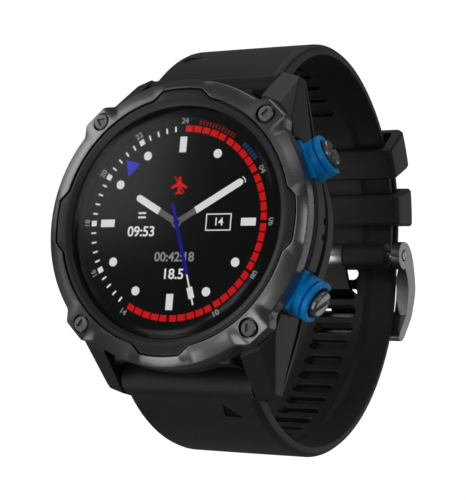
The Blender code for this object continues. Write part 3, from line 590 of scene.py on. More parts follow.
def prism(outline, x0, x1):
    """A (y, z) outline extruded along X."""
    return slab(*[[(x, y, z) for y, z in outline] for x in (x0, x1)])


def skinned(loops, closed_ends=False, ring=False):
    """Loops of equal length joined one to the next; ring also joins the last to the first."""
    bm = bmesh.new()
    rows = [[bm.verts.new(point) for point in loop] for loop in loops]
    for row, following in zip(rows, rows[1:] + rows[:1] if ring else rows[1:]):
        bridge(bm, row, following)
    if closed_ends:
        bm.faces.new(rows[0])
        bm.faces.new(rows[-1])
    return bm


def joined(meshes):
    whole = bmesh.new()
    for bm in meshes:
        part = bpy.data.meshes.new("part")
        bm.to_mesh(part)
        bm.free()
        whole.from_mesh(part)
        bpy.data.meshes.remove(part)
    return whole


def moved(bm, matrix):
    bm.transform(matrix)
    return bm


def at(x, y, z):
    return Matrix.Translation((x, y, z))


# --- case


def clock_point(radius, degrees, y):
    a = math.radians(degrees)
    return (radius * math.sin(a), y, radius * math.cos(a))


def first_quarter(degrees):
    degrees = degrees % 180
    return degrees if degrees <= 90 else 180 - degrees


def lobed_radius(degrees):
    a = math.radians(first_quarter(degrees))
    lobe = min(
        LOBE_HALF_X / max(math.sin(a), 1e-6),
        LOBE_HALF_Z / max(math.cos(a), 1e-6),
        LOBE_CLIP / math.cos(a - math.radians(LOBE_CLIP_DEG)),
    )
    return max(BEZEL_RADIUS, lobe)


def tabbed_radius(degrees):
    from_tab = min(first_quarter(degrees), 90 - first_quarter(degrees))
    inner, outer = TAB_CORNERS_DEG
    share = min(max((outer - from_tab) / (outer - inner), 0.0), 1.0)
    return INSERT_RADIUS + share * (TAB_RADIUS - INSERT_RADIUS)


def softened(radius_at, spread_deg=0.7):
    """The same outline with its corners slightly rounded."""
    shares = (-1.0, -0.5, 0.0, 0.5, 1.0)
    return lambda a: sum(radius_at(a + s * spread_deg) for s in shares) / len(shares)


RING_DEGREES = [0.75 * k for k in range(480)]


def four_corners(x, z):
    return [(sx * x, sz * z) for sz in (1, -1) for sx in (1, -1)]


def at_corners(xz, make):
    """The same shape at each of four places that mirror each other."""
    return [moved(make(), at(x, 0, z)) for x, z in four_corners(*xz)]


def no_radius(degrees):
    return 0.0


def clock_ring(stations):
    """A closed ring skinned through (radius function, what it adds, y) stations."""
    return skinned([[clock_point(radius_at(a) + more, a, y) for a in RING_DEGREES]
                    for radius_at, more, y in stations], ring=True)


def make_bezel():
    """A broad brushed ring: its front slopes to the side wall, with fine polished edges."""
    outer = softened(lobed_radius)
    inner = softened(lambda a: tabbed_radius(a) + 0.16, 0.5)
    lens_hole = LENS_RADIUS + GAP
    ring = clock_ring((
        (outer, -0.25, BEZEL_BOTTOM),
        (outer, 0.0, BEZEL_BOTTOM - 0.25),
        (outer, 0.0, BEZEL_TOP + 1.25),
        (outer, -0.05, BEZEL_TOP + 1.08),
        (outer, -0.2, BEZEL_TOP + 0.9),
        (lambda a: outer(a) * 0.5 + inner(a) * 0.5, 0.0, BEZEL_TOP + 0.28),
        (inner, 0.18, BEZEL_TOP + 0.03),
        (inner, 0.06, BEZEL_TOP + 0.05),
        (inner, 0.0, BEZEL_TOP + 0.16),
        (inner, 0.0, BEZEL_FLOOR),
        (no_radius, lens_hole, BEZEL_FLOOR),
        (no_radius, lens_hole, BEZEL_BOTTOM),
    ))
    bore = [(0, -18.2), (2.05, -18.2), (1.72, BEZEL_TOP + 0.35), (1.72, -15.6),
            (BEZEL_SCREW_HOLE, -15.6), (BEZEL_SCREW_HOLE, -12.5), (0, -12.5)]
    bores = at_corners(BEZEL_SCREW_XZ, lambda: turned(bore, 48))
    piece("bezel_ring", ring, "bezel_metal", "case", ["bezel"], cuts=[joined(bores)], sharp=24)


def make_bezel_insert():
    """The black ring between the bezel and the lens, with a tab at each quarter."""
    outer = softened(lambda a: tabbed_radius(a) - 0.02, 0.5)
    hole = LENS_RADIUS + 0.12
    ring = clock_ring((
        (outer, 0.0, BEZEL_FLOOR - GAP),
        (outer, 0.0, INSERT_TOP + 0.22),
        (outer, -0.1, INSERT_TOP + 0.06),
        (outer, -0.22, INSERT_TOP + 0.02),
        (no_radius, hole + 0.95, INSERT_TOP + 0.02),
        (no_radius, hole + 0.8, INSERT_TOP + 0.04),
        (no_radius, hole, INSERT_TOP + 0.42),
        (no_radius, hole, BEZEL_FLOOR - GAP),
    ))
    piece("insert_ring", ring, "insert_black", "case", ["bezel_insert"])


def make_lens():
    """The domed lens, and the black border under its rim."""
    rim, rim_y, steps = 19.9, INSERT_TOP - 0.12, 12
    dome = [(rim * k / steps, LENS_TOP + (rim_y - LENS_TOP) * (k / steps) ** 2)
            for k in range(steps + 1)]
    edge = [(LENS_RADIUS, INSERT_TOP + 0.3), (LENS_RADIUS, LENS_BOTTOM), (0, LENS_BOTTOM)]
    lens = piece("lens_dome", turned(dome + edge, 160), "lens_glass", "case", ["lens"], sharp=40)
    lens.visible_shadow = False
    inner, outer, front = DIAL_RADIUS - 0.25, LENS_RADIUS - 0.02, LENS_BOTTOM + 0.03
    border = [(inner, front), (outer, front), (outer, front + 0.1), (inner, front + 0.1)]
    piece("lens_border", turned(border, 160), "dial_black", "case")


def make_case_shell():
    """The polymer case: a turned body with four lugs and two sills, cut for all that sits in it."""
    outline = [
        (LENS_RADIUS, -13.9), (19.2, -13.9), (19.2, -4.0), (17.4, -4.0), (17.4, COVER_SHELF),
        (COVER_RADIUS + GAP, COVER_SHELF), (COVER_RADIUS + GAP, CASE_BOTTOM), (23.0, CASE_BOTTOM),
        (23.6, -1.1), (24.4, -5.3), (GROOVE_RADIUS, -5.7), (GROOVE_RADIUS, -7.3), (25.0, -8.2),
        (25.5, -9.2), (25.6, -12.4), (25.2, CASE_TOP), (LENS_RADIUS, CASE_TOP),
    ]
    shell = turned(eased(outline, 0.22), 180)
    lugs = [hull(lug_points(sx, sz), 0.28) for sx in (1, -1) for sz in (1, -1)]
    for sz in (1, -1):
        low, high = sorted((sz * SILL_IN, sz * SILL_OUT))
        lugs.append(box((-SILL_HALF_X, SILL_FRONT, low), (SILL_HALF_X, SILL_BACK, high), 0.3))
    buttons = [(name in GUARDED, along_button(degrees)) for name, degrees in BUTTON_DEG.items()]
    cuts = [moved(box((BUTTON_FLOOR, -4.2, -4.2), (CLEAR_OF_CASE, 4.2, 4.2), 0.6), place)
            for guarded, place in buttons if guarded]
    cuts.append(joined([moved(button_bore(guarded), place) for guarded, place in buttons]))
    pin_y, pin_z = LUG_PIN
    cuts.append(joined([moved(rod(STRAP_EYE + GAP, -13.2, 13.2, 64), at(0, pin_y, sz * pin_z))
                        for sz in (1, -1)]))
    small = at_corners(BEZEL_SCREW_XZ, lambda: rod(BEZEL_SCREW_HOLE, -15, -7.6, 24, axis="Y"))
    small += at_corners(REAR_SCREW_XZ, lambda: rod(REAR_SCREW_HOLE, -6.4, -1.0, 24, axis="Y"))
    small += [box((18.0, -9.9, z - 0.55), (28.0, -9.0, z + 0.55), 0.2, 2) for z in SENSOR_PORT_Z]
    small += [moved(rod(PIN_BORE, x0, x1, 24), at(0, pin_y, sz * pin_z))
              for sz in (1, -1) for x0, x1 in ((12.0, 16.1), (-16.1, -12.0))]
    cuts.append(joined(small))
    cuts += [side_channel(sx, sz) for sx in (1, -1) for sz in (1, -1)]
    piece("case_shell", shell, "case_polymer", "case", ["mid_case"], joins=lugs, cuts=cuts, sharp=28)


def side_channel(sx, sz):
    """The dark channel of the case side, running up into a lug and narrowing towards its tip."""
    sections = ((11.0, -7.2, -5.6, 22.1), (17.0, -5.0, -3.7, 18.9), (26.3, -3.15, -2.95, 16.1))
    far = 30.0
    loops = []
    for z, front, back, x in sections:
        loop = [(x, front), (far, front), (far, back), (x, back)]
        loops.append([(sx * cx, cy, sz * z) for cx, cy in loop])
    return skinned(loops, closed_ends=True)


def lug_points(sx, sz):
    """The corners of a faceted lug, drawn once at 1 o'clock and mirrored."""
    inside = LUG_INSIDE
    top = CASE_TOP + 0.05
    first = [
        (inside, top, 18.5), (inside, top, 22.7), (17.0, top, 21.3),
        (19.6, top, 18.2), (20.6, top, 14.1),
        (inside, -5.4, 29.2), (16.6, -4.9, 28.3), (inside, -2.0, 29.4), (16.6, -2.0, 28.4),
        (18.5, -8.8, 21.6), (inside, -1.0, 26.0), (16.6, -1.0, 25.3),
        (18.3, -1.0, 20.0), (inside, -1.0, 18.5), (20.6, -4.0, 14.1),
    ]
    return [(sx * x, y, sz * z) for x, y, z in first]


def along_button(degrees):
    """Turns local +X into the direction of a button, on the buttons' plane."""
    return at(0, BUTTON_PLANE_Y, 0) @ Matrix.Rotation(-math.radians(degrees), 4, "Y")


def button_bore(guarded):
    """The stepped hole for a button: shaft, spring pocket and outer recess."""
    recess = 2.5 if guarded else 2.9
    profile = [
        (0, 16.0), (1.8, 16.0), (1.8, SPRING_FLOOR), (2.2, SPRING_FLOOR), (2.2, BUTTON_FLOOR),
        (recess, BUTTON_FLOOR), (recess, CLEAR_OF_CASE), (0, CLEAR_OF_CASE),
    ]
    return turned(profile, 40, axis="X")


def make_rear_cover():
    """A dished metal plate with screw seats, a fine groove and the charging opening."""
    outline = [
        (6.0, -1.4), (COVER_RADIUS, -1.4), (COVER_RADIUS, -0.7), (21.3, 0.0),
        (WINDOW_RADIUS + GAP, 0.0), (WINDOW_RADIUS + GAP, -0.9), (6.0, -0.9),
    ]
    opening = box((-4.9, -3.0, -14.9), (4.9, 2.0, -11.1), 0.5)
    seat = [(0, -3), (REAR_SCREW_HOLE, -3), (REAR_SCREW_HOLE, -1.0), (1.45, -1.0), (1.45, 2), (0, 2)]
    holes = at_corners(REAR_SCREW_XZ, lambda: turned(seat, 32))
    holes.append(turned([(17.0, -0.15), (17.35, -0.15), (17.35, 1), (17.0, 1)], 128))
    piece("cover_plate", turned(eased(outline, 0.15), 160), "cover_metal", "case", ["rear_cover"],
          cuts=[opening, joined(holes)])


def make_sensor_window():
    """A dark glass pane over four lamps."""
    edge = WINDOW_RADIUS
    pane = [(0, -0.35), (edge, -0.35), (edge, -0.12), (edge - 0.12, 0.0), (0, 0.0)]
    window = piece("sensor_pane", turned(pane, 96), "sensor_glass", "case", ["sensor_window"],
                   sharp=40)
    window.visible_shadow = False
    base = rod(edge, -0.6, -0.42, 64, axis="Y")
    piece("sensor_base", base, "dial_black", "case")
    lamp = [(0, -0.41), (1.1, -0.41), (0.95, -0.37), (0, -0.37)]
    for i, (radius, degrees) in enumerate(((0.0, 0.0), (4.2, 60.0), (4.2, 180.0), (4.2, 300.0))):
        x, _, z = clock_point(radius, degrees, 0)
        piece(f"sensor_lamp_{i + 1}", moved(turned(lamp, 32), at(x, 0, z)),
              "led_green" if i == 0 else "steel", "case")


def make_screws():
    """Round heads, slightly domed, with a three-sided recess."""
    head = [(0, -16.84), (1.25, -16.8), (1.4, -16.66), (1.4, -15.9), (0.75, -15.9), (0.75, -8.0),
            (0, -8.0)]
    rear = [(0, -6.0), (0.65, -6.0), (0.65, -0.7), (1.15, -0.7), (1.15, -0.2), (1.05, -0.1),
            (0, -0.1)]
    groups = (
        ("bezel_screw", head, BEZEL_SCREW_XZ, 0.98, (-18.0, -16.4)),
        ("rear_screw", rear, REAR_SCREW_XZ, 0.75, (-0.4, 1.0)),
    )
    for name, profile, (x, z), size, (y0, y1) in groups:
        for i, (cx, cz) in enumerate(four_corners(x, z)):
            place = at(cx, 0, cz) @ Matrix.Rotation(math.radians(20 + 35 * i), 4, "Y")
            corners = [clock_point(size, 120 * k, y) for k in range(3) for y in (y0, y1)]
            node = f"{name}_{i + 1}"
            piece(f"{node}_head", turned(profile, 48), "screw_steel", "case", [node],
                  cuts=[hull(corners)], place=place)


# --- buttons


def make_button(name, degrees):
    """A turned metal cap; those in a guard have a milled slot that leaves two lobes."""
    end = GUARDED_CAP_OUTER if name in GUARDED else CAP_OUTER
    cap = [
        (0, 18.6), (1.1, 18.6), (1.1, CAP_INNER), (CAP_RADIUS, CAP_INNER),
        (CAP_RADIUS, end), (0, end),
    ]
    cuts = []
    if name in GUARDED:
        sides = ((end + 0.2, -0.6), (end + 0.2, 0.6), (end - 0.75, -0.25), (end - 0.75, 0.25))
        slot = hull([(x, y, z) for y in (-4, 4) for x, z in sides])
        cuts.append(moved(slot, Matrix.Rotation(0.7, 4, "X")))
    piece(f"button_cap_{name}", turned(eased(cap, 0.5, 6), 96, axis="X"), "dark_steel",
          f"{name}_button", [f"button_{name}"], cuts=cuts, place=along_button(degrees))


def about_x(sections, angles):
    """A bar skinned through (x, radius) sections, each turned about X to its angle."""
    loops = [[(x, r * math.cos(a), r * math.sin(a)) for x, r in section]
             for section, a in zip(sections, angles)]
    return skinned(loops, closed_ends=True)


def make_spring(name, degrees):
    """A round-wire spring under the cap."""
    radius, wire, turns, steps, sides = 1.62, 0.2, 3, 32, 8
    inner, outer = SPRING_FLOOR + 0.2, CAP_INNER - 0.2
    last = turns * steps
    sections = []
    for k in range(last + 1):
        x = inner + wire + (outer - inner - 2 * wire) * k / last
        round_ = [math.tau * j / sides for j in range(sides)]
        sections.append([(x + wire * math.sin(b), radius + wire * math.cos(b)) for b in round_])
    wound = about_x(sections, [math.tau * k / steps for k in range(last + 1)])
    place = along_button(degrees)
    coil = piece(f"spring_coil_{name}", wound, "steel", "case", [f"spring_{name}"], place=place,
                 sharp=60)
    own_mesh(coil)


def make_guard(name, degrees):
    """The blue collar round a button, open towards the wrist, with a groove round its outside."""
    start, sweep, steps = 52.0, 256.0, 72
    inner, outer = CAP_RADIUS + 0.4, GUARD_RADIUS
    middle_x, middle_r, rounded = 26.4, (inner + outer) / 2, 0.4
    section = eased([(24.5, inner), (24.5, outer), (GUARD_OUTER, outer), (GUARD_OUTER, inner)], 0.3)
    sections = []
    for k in range(steps + 1):
        from_end = min(k, steps - k) / steps * math.radians(sweep) * outer
        shrink = 1.0
        if from_end <= rounded:
            shrink = math.sqrt(max(1 - (1 - from_end / rounded) ** 2, 0.25))
        sections.append([(middle_x + (x - middle_x) * shrink, middle_r + (r - middle_r) * shrink)
                         for x, r in section])
    collar = about_x(sections, [math.radians(start + sweep * k / steps) for k in range(steps + 1)])
    low, high = (-4.0, 3.3) if degrees > 0 else (-3.3, 4.0)
    foot = box((24.5, -3.95, low), (25.6, -3.0, high), 0.15)
    channel = [(26.95, outer - 0.55), (26.95, outer + 1), (27.4, outer + 1), (27.4, outer - 0.55)]
    groove = about_x([channel] * 37, [math.radians(180 - 66 + 132 * k / 36) for k in range(37)])
    piece(f"guard_collar_{name}", collar, "blue", "case", [f"guard_{name}"], joins=[foot],
          cuts=[groove], place=along_button(degrees))


# --- straps


def bezier_path(start, handle_a, handle_b, end, steps):
    points = interpolate_bezier(
        Vector((0, *start)), Vector((0, *handle_a)),
        Vector((0, *handle_b)), Vector((0, *end)), steps + 1,
    )
    return [(p.y, p.z) for p in points]


def arc_path(centre, radius, from_deg, to_deg, steps):
    angles = [math.radians(from_deg + (to_deg - from_deg) * i / steps) for i in range(steps + 1)]
    return [(centre[0] + radius * math.cos(a), centre[1] + radius * math.sin(a)) for a in angles]


def handle(point, degrees, length):
    a = math.radians(degrees)
    return (point[0] + length * math.cos(a), point[1] + length * math.sin(a))


def path_length(path):
    return sum(math.dist(a, b) for a, b in zip(path, path[1:]))


def along(path, distance):
    """The point and the unit direction at a distance along a path of (y, z) points."""
    for (y0, z0), (y1, z1) in zip(path, path[1:]):
        step = math.hypot(y1 - y0, z1 - z0)
        if distance <= step or (y1, z1) == path[-1]:
            t = distance / step
            return Vector((y0 + (y1 - y0) * t, z0 + (z1 - z0) * t)), Vector((y1 - y0, z1 - z0)) / step
        distance -= step


def distance_to_z(path, z):
    """How far along the rising path it first passes height z."""
    travelled = 0.0
    for a, b in zip(path, path[1:]):
        if a[1] < z <= b[1]:
            return travelled + math.dist(a, b) * (z - a[1]) / (b[1] - a[1])
        travelled += math.dist(a, b)
    return travelled


def upper_path():
    """Middle line of the short strap, from its lug pin to the buckle pin."""
    arc_from = 58.0
    meet = handle(LOOP_CENTRE, arc_from, UPPER_ARC_RADIUS)
    rise = bezier_path(LUG_PIN, handle(LUG_PIN, UPPER_HEADING_DEG, 19),
                       handle(meet, arc_from + 90, 19), meet, 60)
    back = arc_path(LOOP_CENTRE, UPPER_ARC_RADIUS, arc_from, -2.5, 44)
    return rise + back[1:]


def lower_path():
    """Middle line of the long strap, from its lug pin round to the tail under the keepers."""
    first = (LUG_PIN[0], -LUG_PIN[1])
    low = (57.4, -10.5)
    meet = handle(LOOP_CENTRE, 0, TAIL_ARC_RADIUS)
    sweep = bezier_path(first, handle(first, -LOWER_HEADING_DEG, 25), handle(low, 248, 28), low, 84)
    rise = bezier_path(low, handle(low, 68, 6.4), handle(meet, -90, 6.4), meet, 18)
    tail = arc_path(LOOP_CENTRE, TAIL_ARC_RADIUS, 0, TAIL_END_DEG, 28)
    return sweep + rise[1:] + tail[1:]


def outer_face(travelled):
    """How far the outer face stands off the middle line; it starts flush with the eye."""
    return STRAP_OUT + (ROOT_OUT - STRAP_OUT) * max(0.0, 1 - travelled / ROOT_TAPER) ** 1.3


def strap_section(travelled, total, squeeze):
    """The rounded (x, outward) cross-section: thicker at the lug, with a raised inner band."""
    share = travelled / total
    thick = 1.0 + 0.3 * max(0.0, 1 - share * 6)
    half = STRAP_HALF_WIDTH + (STRAP_END_HALF_WIDTH - STRAP_HALF_WIDTH) * share
    out = outer_face(travelled)
    right = [
        (6.4, -STRAP_IN * thick), (7.5, -0.95 * thick), (half - 0.5, -0.62 * thick),
        (half, -0.5 * thick), (half, out - 0.75), (half - 0.95, out - 0.02), (4.0, out),
    ]
    outline = right + [(-x, n) for x, n in reversed(right)]
    return [(x * squeeze, n) for x, n in eased(outline, 0.34, 3)]


def normals(path):
    """The unit normal at each point of a path, to the left of its direction."""
    found = []
    for i in range(len(path)):
        before, after = path[max(i - 1, 0)], path[min(i + 1, len(path) - 1)]
        dy, dz = after[0] - before[0], after[1] - before[1]
        size = math.hypot(dy, dz)
        found.append((-dz / size, dy / size))
    return found


def strap_band(path, outward, tip_length):
    total = path_length(path)
    loops = []
    travelled = 0.0
    for i, ((y, z), normal) in enumerate(zip(path, normals(path))):
        if i:
            travelled += math.dist(path[i - 1], path[i])
        ny, nz = normal[0] * outward, normal[1] * outward
        left_over = total - travelled
        squeeze = 1.0
        if tip_length and left_over < tip_length:
            squeeze = 0.72 + 0.28 * math.sqrt(1 - (1 - left_over / tip_length) ** 2)
        section = strap_section(travelled, total, squeeze)
        loops.append([(x, y + ny * n, z + nz * n) for x, n in section])
    return skinned(loops, closed_ends=True)


def frame_at(path, distance, outward):
    """A matrix whose X, Y and Z are across, along and outward from the strap at a distance."""
    point, direction = along(path, distance)
    normal = Vector((-direction.y, direction.x)) * outward
    across = Vector((1, 0, 0))
    ahead = Vector((0, direction.x, direction.y))
    out = Vector((0, normal.x, normal.y))
    turn = Matrix((across, ahead, out)).transposed().to_4x4()
    return at(0, point.x, point.y) @ turn


def slot_outline(grow):
    """The outline of a slot with round ends, larger all round by grow."""
    radius = SLOT_HALF_HEIGHT + grow
    straight = SLOT_HALF_LENGTH - SLOT_HALF_HEIGHT
    return (arc_path((straight, 0), radius, -90, 90, 12)
            + arc_path((-straight, 0), radius, 90, 270, 12))


def slot_cutter(through):
    """A slot's cutter that also eases its edges; outward is +Z."""
    levels = [(-4.0, 0.3), (-STRAP_IN, 0.3), (-STRAP_IN + 0.22, 0.06), (-STRAP_IN + 0.4, 0.0)]
    if through:
        levels += [(STRAP_OUT - 0.3, 0.0), (STRAP_OUT - 0.1, 0.08), (STRAP_OUT, 0.25), (4.0, 0.25)]
    else:
        levels += [(-0.25, 0.0), (-0.1, -0.15)]
    loops = [[(x, t, n) for x, t in slot_outline(grow)] for n, grow in levels]
    return skinned(loops, closed_ends=True)


def arrow_mark(path, outward, corners, low=-0.3, high=3.0):
    """A small three-cornered prism through the strap's outer face, from (across, along) corners."""
    points = []
    for x, distance in corners:
        place = frame_at(path, distance, outward)
        points += [place @ Vector((x, 0, outer_face(distance) + n)) for n in (low, high)]
    return hull(points)


def buckle_bore():
    """A cutter for the hole round the buckle pin."""
    return moved(rod(BUCKLE_PIN_BORE, -20, 20, 32), at(0, *BUCKLE_PIN))


def make_strap(name, node, path, outward, slots, mark, rolled, tip_length):
    """A strap with its eye and slots; the rolled one also goes round the buckle pin."""
    start = tuple(along(path, EYE_JOIN)[0])
    later = [p for p in path if math.dist(p, path[0]) > EYE_JOIN + 0.2]
    band = strap_band([start] + later, outward, tip_length)
    y, z = path[0]
    reach = STRAP_HALF_WIDTH + 0.08
    joins = [moved(pipe(STRAP_EYE, PIN_BORE, -reach, reach), at(0, y, z))]
    cuts, last_cuts = [], []
    if rolled:
        pin = at(0, *BUCKLE_PIN)
        joins.append(moved(rod(ROLL_RADIUS, -12.3, 12.3, 48, 0.3), pin))
        last_cuts.append(buckle_bore())
        tongue_notch = box((-3.2, 49.5, 0.5), (3.2, 60.0, 9.4), 0.3)
        cuts.append(tongue_notch)
    holes = [moved(slot_cutter(through), frame_at(path, distance, outward))
             for distance, through in slots]
    latch_pocket = box((-5.0, 3.1, -4.5), (5.0, 8.6, -0.7), 0.25)
    holes.append(moved(latch_pocket, frame_at(path, LATCH_ALONG, outward)))
    cuts += [joined(holes), arrow_mark(path, outward, mark), *last_cuts]
    piece(name, band, "silicone", name, [node], joins=joins, cuts=cuts, sharp=32)


def make_straps():
    upper, lower = upper_path(), lower_path()
    upper_slots = [(UPPER_SLOTS_FROM + UPPER_SLOT_PITCH * k, False) for k in range(UPPER_SLOT_COUNT)]
    start = distance_to_z(lower, TONGUE_SLOT_Z)
    lower_slots = []
    for k in range(-SLOTS_BEFORE_TONGUE, SLOTS_AFTER_TONGUE + 1):
        distance = start + SLOT_PITCH * k
        if distance < path_length(lower) - TAIL_WITHOUT_SLOTS:
            lower_slots.append((distance, k >= THROUGH_FROM))
    make_strap("short_strap", "strap_upper", upper, 1, upper_slots, UPPER_MARK, True, 0.0)
    make_strap("long_strap", "strap_lower", lower, -1, lower_slots, LOWER_MARK, False, 5.0)
    for name, path, outward, mark in (("short_strap", upper, 1, UPPER_MARK),
                                      ("long_strap", lower, -1, LOWER_MARK)):
        filling = arrow_mark(path, outward, mark, -0.4, -0.12)
        piece(f"{name}_arrow", filling, "mark_black", name)


def make_latches():
    """The bright slide under each strap that frees it from its lug pin."""
    for name, body, path, outward in (("latch_upper", "upper_latch", upper_path(), 1),
                                      ("latch_lower", "lower_latch", lower_path(), -1)):
        place = frame_at(path, LATCH_ALONG, outward)
        plate = box((-4.6, 3.5, -1.8), (4.6, 6.3, -1.05), 0.18)
        tab = box((-2.2, 4.5, -2.9), (2.2, 5.6, -1.5), 0.25)
        piece(f"{name}_slide", plate, "steel", body, [name], joins=[tab], place=place)


# --- buckle and keepers


def thick_line(path, half_widths, round_steps=10):
    """The outline of a line of changing width, with round ends."""
    sides = list(zip(path, normals(path), half_widths))
    left = [(y + ny * w, z + nz * w) for (y, z), (ny, nz), w in sides]
    right = [(y - ny * w, z - nz * w) for (y, z), (ny, nz), w in sides]
    outline = list(left)
    for centre, start, w in ((path[-1], left[-1], half_widths[-1]),
                             (path[0], right[0], half_widths[0])):
        first = math.atan2(start[1] - centre[1], start[0] - centre[0])
        for k in range(1, round_steps):
            a = first - math.pi * k / round_steps
            outline.append((centre[0] + w * math.cos(a), centre[1] + w * math.sin(a)))
        if centre is path[-1]:
            outline += right[::-1]
    return outline


def closing_in(bm):
    """Thickens a buckle arm inwards below its eye and bends its lower part towards the strap."""
    bmesh.ops.triangulate(bm, faces=bm.faces[:])
    step_top, step_height, step = ARM_STEP
    top, height, most = ARM_BEND
    for vert in bm.verts:
        inwards = most * max(0.0, (top - vert.co.z) / height) ** 1.3
        if abs(vert.co.x) < (ARM_INSIDE + ARM_OUTSIDE) / 2:
            inwards += step * min(1.0, max(0.0, (step_top - vert.co.z) / step_height))
        vert.co.x -= math.copysign(inwards, vert.co.x)
    return bm


def make_buckle():
    """Two curved arms and a crossbar in one piece, and the slotted axle that it turns on."""
    steps = 32
    path = bezier_path(BUCKLE_PIN, (57.6, 8.0), (60.4, 1.5), CROSSBAR_FROM, steps)
    knots = [2.9, 2.8, 2.6, 2.4, 2.25, 2.1, 1.95, 1.75, 1.6]
    widths = []
    for i in range(steps + 1):
        place = i * (len(knots) - 1) / steps
        k = min(int(place), len(knots) - 2)
        widths.append(knots[k] + (knots[k + 1] - knots[k]) * (place - k))
    outline = thick_line(path + [CROSSBAR_TO], widths + [1.6], 14)
    arms = [closing_in(soften(prism(outline, x0, x1), 0.3, 4, 35)) for x0, x1 in
            ((ARM_INSIDE, ARM_OUTSIDE), (-ARM_OUTSIDE, -ARM_INSIDE))]
    bar = prism(thick_line([CROSSBAR_FROM, CROSSBAR_TO], [1.1, 1.1], 16), -CROSSBAR_END, CROSSBAR_END)
    piece("buckle_body", arms[0], "dark_steel", "buckle", ["buckle_frame"], joins=[bar, arms[1]],
          cuts=[buckle_bore()])
    end = high_mm("buckle_pin").x
    slots = [box((x - 0.75, -0.25, -2), (x + 0.75, 0.25, 2)) for x in (end + 0.25, -end - 0.25)]
    piece("buckle_axle", rod(0.95, -end, end, 40, 0.15), "bright_steel", "buckle", ["buckle_pin"],
          cuts=[joined(slots)], place=at(0, *BUCKLE_PIN) @ Matrix.Rotation(0.5, 4, "X"))


def make_tongue():
    """Leaves the pin inside the long strap, goes out through a slot and rests on the crossbar."""
    path = [(54.9, 4.6), (55.6, 2.0), (56.2, 0.1), (57.5, -0.7), (60.4, -1.3), (62.5, -1.9),
            (63.6, -3.6), (64.1, -6.0), (63.4, -9.0)]
    outline = thick_line(path, [0.58] * len(path), 6)
    blade = soften(prism(outline, -TONGUE_HALF_WIDTH, TONGUE_HALF_WIDTH), 0.18, 2, 50)
    flare_top, flare_height = 4.4, 5.0
    for vert in blade.verts:
        share = min(1.0, max(0.0, (flare_top - vert.co.z) / flare_height))
        vert.co.x += math.copysign(TONGUE_FLARE * share, vert.co.x)
    place = at(0, *BUCKLE_PIN)
    core = moved(rod(2.1, -2.6, 2.6, 40), place)
    piece("tongue_blade", blade, "black_steel", "tongue", ["buckle_tongue"], cuts=[core])
    barrel = soften(pipe(2.3, BUCKLE_PIN_BORE, -2.7, 2.7, 56), 0.15, 2, 50)
    piece("tongue_barrel", barrel, "bright_steel", "tongue", place=place)


def rounded_rectangle(half_x, low, high, radius):
    right, left, top, foot = half_x - radius, radius - half_x, high - radius, low + radius
    outline = []
    for quarter, centre in enumerate(((right, top), (left, top), (left, foot), (right, foot))):
        outline += arc_path(centre, radius, 90 * quarter, 90 * quarter + 90, 5)
    return outline


def make_keeper(node, body, from_deg, to_deg):
    """A moulded loop round both straps, bent to their curve, with eased rims."""
    inner_low = UPPER_ARC_RADIUS - STRAP_IN - GAP
    outer_low = inner_low - 1.3
    inside = STRAP_END_HALF_WIDTH + 0.4
    hole = rounded_rectangle(inside, inner_low, KEEPER_INNER_RADIUS, 0.6)
    arc_length = math.radians(to_deg - from_deg) * KEEPER_OUTER_RADIUS
    steps = 16
    loops = []
    for k in range(steps + 1):
        a = from_deg + (to_deg - from_deg) * k / steps
        mm_from_rim = min(k, steps - k) / steps * arc_length
        inset = 0.3 * max(0.0, 1 - mm_from_rim / 0.6) ** 2
        skin = rounded_rectangle(KEEPER_HALF_WIDTH - inset, outer_low + inset,
                                 KEEPER_OUTER_RADIUS - inset, 1.3)
        loops.append([[(x, *handle(LOOP_CENTRE, a, r)) for x, r in ring] for ring in (skin, hole)])
    bm = bmesh.new()
    rows = [[[bm.verts.new(p) for p in ring] for ring in pair] for pair in loops]
    for (outer_a, inner_a), (outer_b, inner_b) in zip(rows, rows[1:]):
        bridge(bm, outer_a, outer_b)
        bridge(bm, inner_a, inner_b)
    for outer_row, inner_row in (rows[0], rows[-1]):
        bridge(bm, outer_row, inner_row)
    piece(f"{node}_loop", bm, "silicone", body, [node])


# --- dial


PRINT_DEEP = 0.05  # thickness of what is drawn on the display
PRINT_GAP = 0.02  # between the drawing and the display
FONT_CAP_SHARE = 0.7  # height of a digit in the built-in font, against its size
FONT_BOLDER_SHARE = 0.026  # how far a digit's outline is moved out, against its height
RING_RADII = (16.2, 17.3)
BLOCK_GAP_DEG = 0.5  # half the gap between two red blocks
HOUR_GAP_DEG = 0.95  # the same at an hour
TICK_RADIUS = 16.75
HOUR_MARK_RADIUS = 13.9
DIGIT_RADIUS = 18.15
CAPTION_RADIUS = 18.0
HOUR_HAND_DEG = 299.5
MINUTE_HAND_DEG = 59.5
SECONDS_HAND_DEG = 162
HAND_WIDTH = 1.25
BASE_LIFT = 0.02
SECONDS_LIFT = 0.06


def flat(outline, lift=0.0):
    """A thin plate on the display from an (x, z) outline; lift stacks it over others."""
    front = DIAL_FACE - PRINT_GAP - PRINT_DEEP - lift
    return slab(*[[(x, y, z) for x, z in outline] for y in (front, front + PRINT_DEEP)])


def on_dial(name, shapes, material):
    piece(name, joined(shapes), material, "case")


def disc(radius):
    return arc_path((0, 0), radius, 0, 360, 28)[:-1]


def bar(width, low, high):
    return [(-width / 2, low), (width / 2, low), (width / 2, high), (-width / 2, high)]


def capsule(width, low, high):
    """A bar along Z with a round outer end."""
    r = width / 2
    return [(-r, low), (r, low)] + arc_path((0, high - r), r, 0, 180, 8)


def band(r0, r1, from_deg, to_deg):
    angles = [from_deg + (to_deg - from_deg) * k / 6 for k in range(7)]
    outer = [clock_point(r1, a, 0) for a in angles]
    inner = [clock_point(r0, a, 0) for a in reversed(angles)]
    return [(point[0], point[2]) for point in outer + inner]


